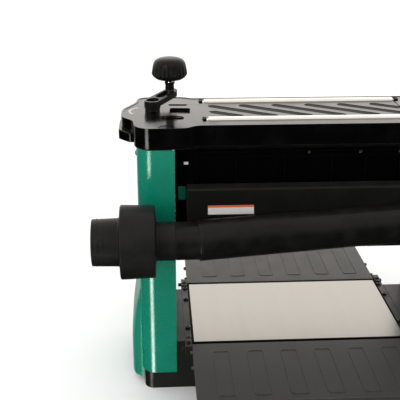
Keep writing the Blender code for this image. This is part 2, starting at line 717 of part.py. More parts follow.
def pivot(name, place):
    """An empty on a joint's axis, for the pieces that turn or slide there."""
    empty = bpy.data.objects.new(name, None)
    empty.location = Vector(place) * MM
    empty.empty_display_size = 0.02
    PARTS.objects.link(empty)
    return empty


def attach(piece, empty):
    bpy.context.view_layer.update()
    piece.parent = empty
    piece.matrix_parent_inverse = empty.matrix_world.inverted()


clear_scene()
PARTS = collection("thickness_planer")
TOOLS = collection("cutters")

make_base()
make_bed()
make_tables()
make_columns()
make_top_frame()
make_top_cover()
make_carry_handles()
make_stock_rollers()
make_lift()
make_side_castings()
make_head_deck()
make_motor()
make_cutterhead()
make_feed_rollers()
make_rear_hood()
make_chute()
make_adapter()
make_front_cover()
make_drive_cover()
make_pointer()
make_controls()
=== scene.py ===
"""Looks of a bench-top thickness planer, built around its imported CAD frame.

+X runs along the cutterhead towards the belt drive, +Y to the infeed side and +Z up.
Lengths are millimetres, and MM turns them into metres where a mesh or an object is made.
"""
import math

import bmesh
import bpy
from mathutils import Matrix, Vector


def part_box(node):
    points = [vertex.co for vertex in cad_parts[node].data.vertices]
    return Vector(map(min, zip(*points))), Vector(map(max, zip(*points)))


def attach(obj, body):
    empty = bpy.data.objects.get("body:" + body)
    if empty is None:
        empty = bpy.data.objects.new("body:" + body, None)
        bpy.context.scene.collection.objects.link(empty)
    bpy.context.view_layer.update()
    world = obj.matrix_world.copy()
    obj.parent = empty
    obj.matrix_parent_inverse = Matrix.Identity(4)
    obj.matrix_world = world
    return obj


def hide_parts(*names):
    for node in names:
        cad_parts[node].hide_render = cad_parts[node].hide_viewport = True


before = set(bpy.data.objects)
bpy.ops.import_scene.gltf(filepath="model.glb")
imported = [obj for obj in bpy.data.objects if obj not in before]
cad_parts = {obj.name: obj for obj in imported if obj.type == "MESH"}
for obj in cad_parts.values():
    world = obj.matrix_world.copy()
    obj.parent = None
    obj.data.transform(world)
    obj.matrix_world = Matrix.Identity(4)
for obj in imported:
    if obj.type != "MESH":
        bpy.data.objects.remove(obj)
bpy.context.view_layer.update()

MM = 0.001
TAU = 2 * math.pi
ORIGIN, UP = (0, 0, 0), (0, 0, 1)
SIDES = {"crank": -1, "drive": 1}
WORDS = {-1: "left", 1: "right"}


# Measures taken from the frame


def low(node):
    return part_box(node)[0] / MM


def high(node):
    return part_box(node)[1] / MM


def middle(node):
    return (low(node) + high(node)) / 2


COVER_TOP = high("top_cover").z
COVER_BOTTOM = low("top_cover").z
BODY_X = (low("top_cover").x + high("top_cover").x) / 2
BED_TOP = high("bed_plate").z
CRANK = middle("crank_leadscrew")
KNOB = middle("crank_knob")
DUCT = middle("dust_adapter")
COLUMN_OUT = high("drive_side_cover").x - BODY_X
COLUMN_IN = low("drive_side_cover").x - BODY_X


def side_x(side, reach):
    """The X of a place that lies a reach from the machine's middle plane on one side."""
    return BODY_X + side * reach


def reaches(side, inner, outer):
    """The X limits, in rising order, of what lies between two reaches on one side."""
    return sorted((side_x(side, inner), side_x(side, outer)))


def mirrored(outline, side):
    """An outline given as reaches from the middle plane, set out on one side of it."""
    return [(side_x(side, u), *rest) for u, *rest in outline]


# Outlines


def circle(centre, radius, steps=48, start=0.0, sweep=TAU):
    """Points on a circle; a part of it, with both ends, when sweep isn't a full turn."""
    spans = steps if abs(sweep) >= TAU else steps - 1
    angles = [start + sweep * i / spans for i in range(steps)]
    return [(centre[0] + radius * math.cos(a), centre[1] + radius * math.sin(a)) for a in angles]


def rounded(corners, steps=8):
    """An outline through corners (u, v, radius), where each radius becomes an arc."""
    outline = []
    for i, (u, v, radius) in enumerate(corners):
        here = Vector((u, v))
        if not radius:
            outline.append((u, v))
            continue
        before = (Vector(corners[i - 1][:2]) - here).normalized()
        after = (Vector(corners[(i + 1) % len(corners)][:2]) - here).normalized()
        half = before.angle(after) / 2
        centre = here + (before + after).normalized() * radius / math.sin(half)
        first = here + before * radius / math.tan(half) - centre
        last = here + after * radius / math.tan(half) - centre
        turn = first.angle_signed(last)
        for k in range(steps + 1):
            outline.append(tuple(centre + Matrix.Rotation(-turn * k / steps, 2) @ first))
    return outline


def rounded_box(u0, v0, u1, v1, radius):
    return rounded([(u0, v0, radius), (u1, v0, radius), (u1, v1, radius), (u0, v1, radius)], 6)


def moved(outline, distance, closed=True):
    """The outline shifted to its left by a distance: inwards when it runs counter-clockwise."""
    shifted = []
    count = len(outline)
    for i, point in enumerate(outline):
        here = Vector(point)
        back = Vector(outline[i - 1]) if closed or i > 0 else None
        on = Vector(outline[(i + 1) % count]) if closed or i < count - 1 else None
        before = (here - back).normalized() if back else (on - here).normalized()
        after = (on - here).normalized() if on else before
        normal = Vector((-(before + after).y, (before + after).x)).normalized()
        reach = distance / max(0.3, normal.dot(Vector((-before.y, before.x))))
        shifted.append(tuple(here + normal * reach))
    return shifted


def ribbon(path, thickness):
    """A closed outline of even thickness along a path, on its left."""
    return path + moved(path, thickness, closed=False)[::-1]


def capsule(start, end, radius_a, radius_b=None, steps=12):
    """The outline round two circles, counter-clockwise."""
    radius_b = radius_a if radius_b is None else radius_b
    a, b = Vector(start), Vector(end)
    line = b - a
    heading = math.atan2(line.y, line.x)
    lean = math.acos((radius_a - radius_b) / line.length)
    ahead = circle(b, radius_b, steps, heading - lean, 2 * lean)
    behind = circle(a, radius_a, steps, heading + lean, TAU - 2 * lean)
    return ahead + behind


# Solids


PLANES = {
    "Z": Matrix.Identity(4),
    "X": Matrix(((0, 0, 1, 0), (1, 0, 0, 0), (0, 1, 0, 0), (0, 0, 0, 1))),
    "Y": Matrix(((1, 0, 0, 0), (0, 0, -1, 0), (0, 1, 0, 0), (0, 0, 0, 1))),
}
NORMALS = {"X": 0, "Y": 1, "Z": 2}
MERGE = 0.00001


def from_bmesh(bm, name="shape"):
    """A linked object that takes over a bmesh."""
    mesh = bpy.data.meshes.new(name)
    bm.to_mesh(mesh)
    bm.free()
    made = bpy.data.objects.new(name, mesh)
    bpy.context.scene.collection.objects.link(made)
    return made


def evaluated_mesh(thing):
    bpy.context.view_layer.update()
    graph = bpy.context.evaluated_depsgraph_get()
    return bpy.data.meshes.new_from_object(thing.evaluated_get(graph))


def prism(outlines, start, end, axis="Z"):
    """Extrude flat outlines along an axis; inner outlines are holes.

    Points are (x, y) for Z, (y, z) for X and (x, z) for Y.
    """
    curve = bpy.data.curves.new("outline", "CURVE")
    curve.dimensions = "2D"
    curve.fill_mode = "BOTH"
    curve.extrude = (end - start) / 2 * MM
    for outline in outlines:
        spline = curve.splines.new("POLY")
        spline.points.add(len(outline) - 1)
        for point, (u, v) in zip(spline.points, outline):
            point.co = (u * MM, v * MM, 0.0, 1.0)
        spline.use_cyclic_u = True
    guide = bpy.data.objects.new("outline", curve)
    bpy.context.scene.collection.objects.link(guide)
    mesh = evaluated_mesh(guide)
    bpy.data.objects.remove(guide, do_unlink=True)
    bm = bmesh.new()
    bm.from_mesh(mesh)
    bmesh.ops.remove_doubles(bm, verts=bm.verts, dist=MERGE)
    bmesh.ops.dissolve_limit(bm, angle_limit=math.radians(0.5), verts=bm.verts, edges=bm.edges,
                             delimit={"NORMAL"})
    bmesh.ops.recalc_face_normals(bm, faces=bm.faces)
    place = [0.0, 0.0, 0.0]
    place[NORMALS[axis]] = (start + end) / 2 * MM
    bmesh.ops.transform(bm, matrix=Matrix.Translation(place) @ PLANES[axis], verts=bm.verts)
    return from_bmesh(bm)


def block(corner_a, corner_b):
    """A box between two opposite corners."""
    bm = bmesh.new()
    bmesh.ops.create_cube(bm, size=1.0)
    centre = (Vector(corner_a) + Vector(corner_b)) / 2 * MM
    size = [abs(b - a) * MM for a, b in zip(corner_a, corner_b)]
    bmesh.ops.scale(bm, vec=size, verts=bm.verts)
    bmesh.ops.translate(bm, vec=centre, verts=bm.verts)
    return from_bmesh(bm)


def shift(*place):
    """The matrix of a move in millimetres."""
    return Matrix.Translation(Vector(place) * MM)


def facing(place, direction):
    """The matrix that stands a shape's +Z along a direction at a place in millimetres."""
    return shift(*place) @ Vector(direction).to_track_quat("Z", "Y").to_matrix().to_4x4()


def turned(profile, base, direction, steps=64, swell=None):
    """Spin (radius, height) points, top to bottom, about a line from base.

    swell(angle, height) gives a factor on the radius, for flutes and knurls.
    """
    bm = bmesh.new()
    rings = []
    for radius, height in profile:
        if radius == 0:
            rings.append([bm.verts.new((0, 0, height * MM))])
            continue
        ring = []
        for i in range(steps):
            angle = TAU * i / steps
            reach = radius * (swell(angle, height) if swell else 1.0)
            x, y = reach * math.cos(angle) * MM, reach * math.sin(angle) * MM
            ring.append(bm.verts.new((x, y, height * MM)))
        rings.append(ring)
    for upper, lower in zip(rings, rings[1:]):
        for i in range(steps):
            k = (i + 1) % steps
            picks = ((upper, i), (lower, i), (lower, k), (upper, k))
            face = list(dict.fromkeys(ring[at % len(ring)] for ring, at in picks))
            if len(face) > 2:
                bm.faces.new(face)
    bmesh.ops.recalc_face_normals(bm, faces=bm.faces)
    bmesh.ops.transform(bm, matrix=facing(base, direction), verts=bm.verts)
    return from_bmesh(bm)


def loft(rings):
    """A closed body through like rings of points, flat at both ends."""
    bm = bmesh.new()
    made = [[bm.verts.new(Vector(point) * MM) for point in ring] for ring in rings]
    count = len(made[0])
    for lower, upper in zip(made, made[1:]):
        for i in range(count):
            k = (i + 1) % count
            bm.faces.new((lower[i], lower[k], upper[k], upper[i]))
    bm.faces.new(made[0])
    bm.faces.new(made[-1])
    bmesh.ops.recalc_face_normals(bm, faces=bm.faces)
    return from_bmesh(bm)


def rod(start, end, radius, end_radius=None, steps=48):
    """A cylinder or cone between two points."""
    along = Vector(end) - Vector(start)
    tip = radius if end_radius is None else end_radius
    return turned([(0, along.length), (tip, along.length), (radius, 0), (0, 0)], start, along, steps)


def settle(thing):
    """Apply an object's modifiers."""
    mesh = evaluated_mesh(thing)
    thing.modifiers.clear()
    old, thing.data = thing.data, mesh
    bpy.data.meshes.remove(old)
    return thing


def combine(target, tools, operation):
    """Apply a boolean operation with each tool to the target, and remove the tools."""
    for tool in tools:
        step = target.modifiers.new(operation, "BOOLEAN")
        step.operation = operation
        step.object = tool
        step.solver = "EXACT"
    settle(target)
    for tool in tools:
        bpy.data.objects.remove(tool, do_unlink=True)
    return target


def join(target, *tools):
    return combine(target, tools, "UNION")


def cut(target, *tools):
    return combine(target, tools, "DIFFERENCE")


def group(*things):
    """One object that holds the meshes of several, for a piece made of like parts."""
    bm = bmesh.new()
    for thing in things:
        bm.from_mesh(thing.data)
        bpy.data.objects.remove(thing, do_unlink=True)
    return from_bmesh(bm)


def copies(thing, matrices):
    """Repeat a shape made at the origin at each of the given matrices."""
    bm = bmesh.new()
    for matrix in matrices:
        count = len(bm.verts)
        bm.from_mesh(thing.data)
        bm.verts.ensure_lookup_table()
        bmesh.ops.transform(bm, matrix=matrix, verts=bm.verts[count:])
    bpy.data.objects.remove(thing, do_unlink=True)
    return from_bmesh(bm)


def round_edges(thing, width, segments=3, angle=35):
    edge = thing.modifiers.new("Rounded edges", "BEVEL")
    edge.width = width * MM
    edge.segments = segments
    edge.limit_method = "ANGLE"
    edge.angle_limit = math.radians(angle)
    edge.miter_outer = "MITER_ARC"
    return thing


def coat(thing, material):
    """Even normals that keep the sharp edges, and the named material."""
    normals = thing.modifiers.new("Normals", "WEIGHTED_NORMAL")
    normals.keep_sharp = True
    thing.data.materials.clear()
    thing.data.materials.append(MAT[material])


def piece(thing, name, material, body, replaces=(), edge=0.4, segments=2, angle=35, sharp=40):
    """Finish a shape as a piece: rounded edges, smooth shading, named material and body."""
    if edge:
        round_edges(thing, edge, segments, angle)
        settle(thing)
    thing.name = name
    thing.data.name = name
    thing.data.shade_smooth()
    thing.data.set_sharp_from_angle(angle=math.radians(sharp))
    coat(thing, material)
    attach(thing, body)
    if replaces:
        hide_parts(*replaces)
    return thing


def smooth_by_angle():
    """A node group that shades a mesh smooth and keeps its sharper edges."""
    tree = bpy.data.node_groups.new("smooth_by_angle", "GeometryNodeTree")
    tree.interface.new_socket("Geometry", in_out="INPUT", socket_type="NodeSocketGeometry")
    tree.interface.new_socket("Geometry", in_out="OUTPUT", socket_type="NodeSocketGeometry")
    start = tree.nodes.new("NodeGroupInput")
    end = tree.nodes.new("NodeGroupOutput")
    faces = tree.nodes.new("GeometryNodeSetShadeSmooth")
    faces.domain = "FACE"
    edges = tree.nodes.new("GeometryNodeSetShadeSmooth")
    edges.domain = "EDGE"
    edges.inputs["Shade Smooth"].default_value = False
    angle = tree.nodes.new("GeometryNodeInputMeshEdgeAngle")
    sharper = tree.nodes.new("FunctionNodeCompare")
    sharper.operation = "GREATER_THAN"
    sharper.inputs[1].default_value = math.radians(38)
    tree.links.new(start.outputs[0], faces.inputs["Geometry"])
    tree.links.new(faces.outputs[0], edges.inputs["Geometry"])
    tree.links.new(angle.outputs["Unsigned Angle"], sharper.inputs[0])
    tree.links.new(sharper.outputs[0], edges.inputs["Selection"])
    tree.links.new(edges.outputs[0], end.inputs[0])
    return tree


SMOOTH = smooth_by_angle()


def dress(node, material, edge=0.6, segments=2):
    """Give a CAD node that stays its named material, rounded edges and smooth shading."""
    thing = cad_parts[node]
    weld = thing.modifiers.new("Weld", "WELD")
    weld.merge_threshold = MERGE
    flat = thing.modifiers.new("Flat faces", "DECIMATE")
    flat.decimate_type = "DISSOLVE"
    flat.angle_limit = math.radians(1)
    if edge:
        round_edges(thing, edge, segments)
    smooth = thing.modifiers.new("Smooth", "NODES")
    smooth.node_group = SMOOTH
    coat(thing, material)
    return thing


# Materials


WEAR_GAIN = 6.0


class Finish:
    """A Principled material, with short calls that add procedural detail to it."""

    def __init__(self, name, colour, roughness, metallic=0.0, **sockets):
        self.material = bpy.data.materials.new(name)
        self.material.use_nodes = True
        self.material.diffuse_color = (*colour, 1.0)
        self.tree = self.material.node_tree
        self.shader = self.tree.nodes["Principled BSDF"]
        self.set(self.shader, "Base Color", (*colour, 1.0))
        self.set(self.shader, "Roughness", roughness)
        self.set(self.shader, "Metallic", metallic)
        for socket, value in sockets.items():
            self.set(self.shader, socket.replace("_", " "), value)

    def set(self, node, socket, value):
        if isinstance(value, bpy.types.NodeSocket):
            self.tree.links.new(value, node.inputs[socket])
        else:
            node.inputs[socket].default_value = value

    def node(self, kind, **sockets):
        made = self.tree.nodes.new(kind)
        for socket, value in sockets.items():
            self.set(made, socket.replace("_", " "), value)
        return made

    def place(self, stretch=(1, 1, 1)):
        """Object coordinates in millimetres, stretched along each axis."""
        where = self.node("ShaderNodeTexCoord").outputs["Object"]
        scale = [1 / MM / s for s in stretch]
        return self.node("ShaderNodeMapping", Vector=where, Scale=scale).outputs[0]

    def noise(self, size, detail=3.0, stretch=(1, 1, 1), roughness=0.5):
        """Noise with grains of about a size in millimetres, from 0 to 1."""
        return self.node("ShaderNodeTexNoise", Vector=self.place(stretch), Scale=1 / size,
                         Detail=detail, Roughness=roughness).outputs["Fac"]

    def span(self, value, start, end, out_start=0.0, out_end=1.0):
        return self.node("ShaderNodeMapRange", Value=value, From_Min=start, From_Max=end,
                         To_Min=out_start, To_Max=out_end).outputs[0]

    def math(self, operation, a, b):
        made = self.tree.nodes.new("ShaderNodeMath")
        made.operation = operation
        self.set(made, 0, a)
        self.set(made, 1, b)
        return made.outputs[0]

    def times(self, a, b):
        return self.math("MULTIPLY", a, b)

    def mix(self, factor, a, b):
        made = self.tree.nodes.new("ShaderNodeMix")
        made.data_type = "RGBA"
        made.clamp_factor = False
        self.set(made, 0, factor)
        self.set(made, 6, (*a, 1.0) if isinstance(a, tuple) else a)
        self.set(made, 7, (*b, 1.0) if isinstance(b, tuple) else b)
        return made.outputs[2]

    def edges(self, radius):
        """A mask that is 1 on worn edges: where a rounded normal leaves the true one."""
        bevel = self.node("ShaderNodeBevel", Radius=radius * MM)
        bevel.samples = 6
        true = self.node("ShaderNodeNewGeometry").outputs["Normal"]
        dot = self.tree.nodes.new("ShaderNodeVectorMath")
        dot.operation = "DOT_PRODUCT"
        self.set(dot, 0, bevel.outputs[0])
        self.set(dot, 1, true)
        gap = self.math("SUBTRACT", 1.0, dot.outputs["Value"])
        scratch = self.span(self.noise(5, 6.0, roughness=0.7), 0.42, 0.62)
        mask = self.times(self.times(gap, WEAR_GAIN), scratch)
        return self.span(mask, 0.0, 1.0)

    def bump(self, height, distance):
        """Raise the surface by a height map; distance is its full height in millimetres."""
        made = self.node("ShaderNodeBump", Height=height, Distance=distance * MM, Strength=1.0)
        if self.shader.inputs["Normal"].links:
            self.set(made, "Normal", self.shader.inputs["Normal"].links[0].from_socket)
        self.set(self.shader, "Normal", made.outputs[0])
        return self

    def roughen(self, value):
        self.set(self.shader, "Roughness", value)
        return self

    def tint(self, value):
        self.set(self.shader, "Base Color", value)
        return self


def gloss_plastic(name, colour, worn, rough=0.16, shine=0.3):
    """Moulded gloss plastic: faint flow waves, wiped dust and scuffed edges."""
    made = Finish(name, colour, rough, Specular_IOR_Level=shine)
    dust = made.span(made.noise(38, 5.0, roughness=0.65), 0.45, 0.75)
    speck = made.span(made.noise(1.6, 2.0), 0.66, 0.74)
    haze = made.span(dust, 0, 1, rough, rough + 0.12)
    made.roughen(made.math("ADD", haze, made.times(speck, 0.2)))
    edge = made.edges(1.2)
    film = made.mix(made.times(dust, 0.03), colour, worn)
    made.tint(made.mix(made.times(edge, 0.35), film, worn))
    made.bump(made.noise(55, 2.0), 0.03)
    made.bump(made.noise(0.9, 2.0), 0.004)
    return made.material


def grain_plastic(name, colour, worn, rough=0.42, grain=0.5, depth=0.03, shine=0.3):
    """Moulded plastic with a fine spark-eroded grain."""
    made = Finish(name, colour, rough, Specular_IOR_Level=shine)
    blotch = made.noise(24, 4.0, roughness=0.6)
    made.roughen(made.span(blotch, 0.3, 0.75, rough - 0.07, rough + 0.1))
    edge = made.times(made.edges(1.0), 0.4)
    film = made.mix(made.span(blotch, 0.4, 0.8, 0.0, 0.08), colour, worn)
    made.tint(made.mix(edge, film, worn))
    cells = made.node("ShaderNodeTexVoronoi", Vector=made.place(), Scale=1 / grain)
    made.bump(cells.outputs["Distance"], depth)
    made.bump(made.noise(7, 2.0), 0.03)
    return made.material


def powder_coat(name, colour, deep, chip, rough=0.24):
    """Powder-coated sheet: orange peel, slight colour drift and chipped edges."""
    made = Finish(name, colour, rough, Specular_IOR_Level=0.6)
    drift = made.noise(70, 3.0)
    body = made.mix(made.span(drift, 0.35, 0.7), colour, deep)
    made.tint(made.mix(made.times(made.edges(0.8), 0.55), body, chip))
    wipes = made.noise(16, 5.0, roughness=0.65)
    made.roughen(made.span(wipes, 0.35, 0.75, rough - 0.04, rough + 0.06))
    made.bump(made.noise(1.7, 2.0), 0.012)
    return made.material


def casting(name, colour, worn, rough=0.5, grain=1.3, depth=0.1, metallic=0.0, shine=0.35):
    """Painted casting: sandy skin, rubbed corners and a little grime."""
    made = Finish(name, colour, rough, metallic, Specular_IOR_Level=shine)
    grime = made.noise(30, 6.0, roughness=0.7)
    body = made.mix(made.span(grime, 0.35, 0.72), colour, tuple(c * 0.72 for c in colour))
    made.tint(made.mix(made.times(made.edges(1.0), 0.7), body, worn))
    made.roughen(made.span(grime, 0.3, 0.75, rough + 0.08, rough - 0.08))
    made.bump(made.noise(grain, 4.0, roughness=0.7), depth)
    return made.material


def brushed(name, colour, dark, stretch, rough=0.3, anisotropic=0.5, depth=0.01, vary=1.0):
    """Brushed or ground metal, with lines along the axis of the greatest stretch."""
    made = Finish(name, colour, rough, 1.0, Anisotropic=anisotropic)
    lines = made.noise(0.35, 4.0, stretch, 0.65)
    bands = made.noise(9, 3.0, stretch, 0.55)
    stain = made.noise(45, 4.0, roughness=0.6)
    tone = made.mix(made.span(lines, 0.3, 0.7), dark, colour)
    made.tint(made.mix(made.times(made.span(stain, 0.5, 0.8), 0.35), tone, dark))
    made.roughen(made.math("ADD", made.span(bands, 0.3, 0.7, rough - 0.05 * vary, rough + 0.06 * vary),
                           made.span(lines, 0.3, 0.7, -0.05 * vary, 0.07 * vary)))
    made.bump(lines, depth)
    return made.material


def polished(name, colour, rough=0.07):
    """Chrome plate with faint rolling marks round it and dulled patches."""
    made = Finish(name, colour, rough, 1.0)
    rings = made.noise(0.8, 3.0, (1, 40, 40))
    smear = made.span(made.noise(20, 5.0, roughness=0.7), 0.4, 0.75)
    made.roughen(made.span(smear, 0, 1, rough, rough + 0.14))
    made.tint(made.mix(made.times(smear, 0.25), colour, tuple(c * 0.75 for c in colour)))
    made.bump(rings, 0.003)
    return made.material


def soft_rubber(name, colour):
    made = Finish(name, colour, 0.75)
    dust = made.span(made.noise(8, 6.0, roughness=0.7), 0.42, 0.7)
    made.tint(made.mix(made.times(dust, 0.5), colour, (0.16, 0.135, 0.10)))
    made.roughen(made.span(dust, 0, 1, 0.62, 0.9))
    made.bump(made.noise(0.6, 3.0), 0.03)
    return made.material


def ink(name, colour, rough=0.5):
    """Printed or film surface with slight fading."""
    made = Finish(name, colour, rough, Specular_IOR_Level=0.1)
    fade = made.span(made.noise(6, 5.0, roughness=0.7), 0.45, 0.8)
    made.tint(made.mix(made.times(fade, 0.3), colour, tuple(c * 0.7 + 0.04 for c in colour)))
    made.bump(made.noise(0.8, 2.0), 0.008)
    return made.material


BLACK = (0.0014, 0.0014, 0.0015)
SCUFF = (0.07, 0.066, 0.062)
GREEN = (0.0, 0.2, 0.122)
MAT = {}


def add(make, name, *looks, **more):
    MAT[name] = make(name, *looks, **more)


add(gloss_plastic, "gloss_black", BLACK, SCUFF, shine=0.2)
add(gloss_plastic, "hood_black", (0.0055, 0.0052, 0.005), SCUFF, rough=0.3, shine=0.12)
add(grain_plastic, "satin_black", (0.0085, 0.0083, 0.008), SCUFF, shine=0.12)
add(grain_plastic, "groove_grey", (0.062, 0.059, 0.056), SCUFF, rough=0.75, grain=0.9, shine=0.0)
add(grain_plastic, "duct_black", (0.004, 0.0039, 0.0037), SCUFF, rough=0.4, shine=0.16)
add(grain_plastic, "knob_black", (0.007, 0.0068, 0.0065), SCUFF, rough=0.3, grain=0.35, depth=0.012,
    shine=0.12)
add(grain_plastic, "arm_black", (0.008, 0.0075, 0.0075), SCUFF, rough=0.22, grain=0.8, depth=0.01,
    shine=0.2)
# Painted shade: this black's colour and shine are cut almost to nothing so the head parts under the top
# cover look shadowed.
add(casting, "black_casting", (0.001, 0.001, 0.001), (0.02, 0.019, 0.018), rough=0.42, depth=0.05,
    shine=0.03)
add(casting, "dark_casting", (0.009, 0.0086, 0.0082), (0.07, 0.068, 0.066), rough=0.45, depth=0.07)
add(casting, "grey_casting", (0.038, 0.0355, 0.033), (0.12, 0.115, 0.11), rough=0.48, depth=0.07)
add(powder_coat, "green_paint", GREEN, (0.0, 0.175, 0.106), (0.18, 0.32, 0.27), rough=0.26)
add(gloss_plastic, "green_plastic", GREEN, (0.1, 0.25, 0.18), rough=0.3, shine=0.3)
add(brushed, "stainless", (0.325, 0.31, 0.294), (0.3, 0.285, 0.27), (1, 60, 60), 0.3, 0.0, depth=0.004,
    vary=0.25)
add(brushed, "steel", (0.5, 0.5, 0.5), (0.3, 0.3, 0.3), (1, 1, 30), 0.28)
add(brushed, "turned_steel", (0.55, 0.55, 0.55), (0.34, 0.34, 0.34), (1, 30, 30), 0.25)
add(casting, "black_oxide", (0.02, 0.02, 0.021), (0.25, 0.25, 0.25), rough=0.32, grain=0.7, depth=0.02,
    metallic=0.6)
add(polished, "chrome", (0.92, 0.89, 0.85))
add(brushed, "aluminium", (0.72, 0.72, 0.73), (0.55, 0.55, 0.56), (1, 30, 1), 0.35)
add(brushed, "carbide", (0.42, 0.42, 0.44), (0.3, 0.3, 0.32), (8, 8, 8), 0.2)
add(brushed, "brass", (0.72, 0.5, 0.2), (0.5, 0.33, 0.12), (1, 30, 30), 0.3)
add(soft_rubber, "rubber", (0.028, 0.027, 0.026))
add(gloss_plastic, "red_plastic", (0.5, 0.018, 0.012), (0.6, 0.2, 0.16), rough=0.28)
add(ink, "white_print", (0.6, 0.59, 0.57))
add(ink, "label_white", (0.56, 0.54, 0.53), 0.4)
add(ink, "label_orange", (0.5, 0.12, 0.04), 0.4)
add(ink, "black_print", (0.02, 0.02, 0.02))


# Fasteners


def cap_screw(radius, height, steps=32):
    """A socket head that stands on the origin's plane and points up."""
    profile = [(0, 0.45), (0.52, 0.45), (0.55, 1), (0.86, 1), (1, 0.86), (1, 0), (0, 0)]
    head = turned([(r * radius, h * height) for r, h in profile], ORIGIN, UP, steps)
    socket = prism([circle((0, 0), radius * 0.56, 6)], height * 0.4, height * 1.2)
    return cut(head, socket)


def pan_screw(radius, height):
    """A domed head with a cross recess."""
    dome = [(math.sin(a), 0.3 + 0.7 * math.cos(a)) for a in (0.35, 0.7, 1.05, 1.35)]
    profile = [(0, height)] + [(radius * reach, height * rise) for reach, rise in dome]
    head = turned(profile + [(radius, 0.0), (0, 0)], ORIGIN, UP, 24)
    arm, half = radius * 0.55, radius * 0.13
    for a, b in ((arm, half), (half, arm)):
        cut(head, block((-a, -b, height * 0.45), (a, b, height * 2)))
    return head


def screws(name, head, places, direction, body):
    """A set of like screws on one body, as one piece."""
    made = copies(head, [facing(place, direction) for place in places])
    return piece(made, name, "black_oxide", body, edge=0)


# The top: cover, handles, rollers and crank


def end_half():
    """Half of the top's plan as (reach, y, corner radius), from the far middle round to the near one."""
    far, near = high("top_cover").y, low("top_cover").y
    return [
        (174, far - 9, 22), (190, far, 22), (261, far, 16), (263, 60, 56), (284, 16, 58),
        (284, -26, 30), (266, -48, 24), (262, near, 25), (190, near, 22), (174, near + 14, 22),
    ]


def top_outline():
    half = end_half()
    return rounded(mirrored(half, -1) + mirrored(half, 1)[::-1], 10)


GROOVE_R = 8.0
SLOT_HALF = 5.9
CLEAR = 5.0


def groove_ends():
    """The slanted grooves between the stock rollers, clipped to the panel's length."""
    left, right = -131.0, 156.0
    pitch, slant = 52.0, Vector((90.0, -60.0))
    for k in range(7):
        start = Vector((125.5 - pitch * k, 36.0))
        first = max(0.0, (left - start.x) / slant.x)
        last = min(1.0, (right - start.x) / slant.x)
        yield start + slant * first, start + slant * last


def make_top_cover():
    outline = top_outline()
    cover = prism([outline], COVER_BOTTOM, COVER_TOP)
    shelf = COVER_TOP - 17.5
    cut(cover, prism([moved(outline, 2.6)], COVER_BOTTOM - CLEAR, COVER_TOP - 7))
    for side in SIDES.values():
        inner, outer = reaches(side, 262.8, 300)
        cut(cover, block((inner, -60, COVER_BOTTOM - CLEAR), (outer, 70, shelf)))
    tools = [prism([moved(outline, 3.6)], COVER_TOP - 0.7, COVER_TOP + CLEAR)]
    tools.append(prism([rounded_box(-137, -44, 162, 63, 3)], COVER_TOP - 1.5, COVER_TOP + CLEAR))
    for start, end in groove_ends():
        tools.append(prism([capsule(start, end, GROOVE_R)], COVER_TOP - 5, COVER_TOP + CLEAR))
    for node in ("near_stock_roller", "far_stock_roller"):
        y = middle(node).y
        left, right = low(node).x, high(node).x
        slot = [(left + 7, y - SLOT_HALF), (right - 7, y - SLOT_HALF), (right + 4, y),
                (right - 7, y + SLOT_HALF), (left + 7, y + SLOT_HALF), (left - 4, y)]
        tools.append(prism([slot], COVER_TOP - 12, COVER_TOP + CLEAR))
    tools.append(prism([circle((CRANK.x, CRANK.y), 7)], COVER_TOP - 12, COVER_TOP + CLEAR))
    pocket = rounded([(-199, 38, 2), (-168, 36, 5), (-172, 46, 4), (-201, 48, 3)])
    tools.append(prism([pocket], COVER_TOP - 4, COVER_TOP + CLEAR))
    rest = rounded([(-200, -10, 3), (-169, -13, 4), (-167, 22, 5), (-198, 24, 3)])
    tools.append(prism([rest], COVER_TOP - 5, COVER_TOP + CLEAR))
    for tool in tools:
        cut(cover, tool)
    ridge = [(-223, -31), (-206, -37), (-186, -38), (-169, -33), (-186, -27.5), (-206, -27)]
    rim = rounded([(*p, 4) for p in ridge], 5)
    lens = prism([rim], COVER_TOP - 2, COVER_TOP + 1.1)
    cut(lens, prism([moved(rim, 1.6)], COVER_TOP - 0.2, COVER_TOP + 4))
    join(cover, lens)
    spot = Vector((-205, -82))
    ring = [circle(spot, radius) for radius in (12, 10)]
    flat = [[(x, spot.y + (y - spot.y) * 0.55) for x, y in loop] for loop in ring]
    oval = prism(flat, COVER_TOP - 2, COVER_TOP)
    join(cover, oval)
    piece(cover, "top_cover_moulding", "gloss_black", "machine", ["top_cover"],
          edge=1.0, segments=3, angle=30)


def make_panel_grooves():
    """Matt floors of the slanted grooves, where boards slide back."""
    floors = [prism([capsule(start, end, GROOVE_R - 0.1)], COVER_TOP - 5, COVER_TOP - 2.2)
              for start, end in groove_ends()]
    piece(group(*floors), "panel_grooves", "groove_grey", "machine", edge=0.2)


def make_carry_handles():
    """The lip below each lobe, with a finger space open from below."""
    for side in SIDES.values():
        node = "carry_handle_" + WORDS[side]
        top, bottom = COVER_TOP - 18.2, low(node).z
        root, reach = 262.4, 288.0
        plan = [(root, 49, 3), (272, 49, 6), (reach, 24, 16), (reach, -30, 9), (272, -50, 6),
                (root, -50, 3)]
        outline = rounded(mirrored(plan, side), 8)
        grip = prism([outline], bottom, top)
        space = [(265.5, 43, 1.5), (270.5, 43, 2), (reach - 5, 21, 10), (reach - 5, -27, 6),
                 (270.5, -44, 2), (265.5, -44, 1.5)]
        cut(grip, prism([rounded(mirrored(space, side), 6)], bottom - 10, top - 3))
        piece(grip, node + "_lip", "gloss_black", "machine", [node], edge=2.2,
              segments=4)


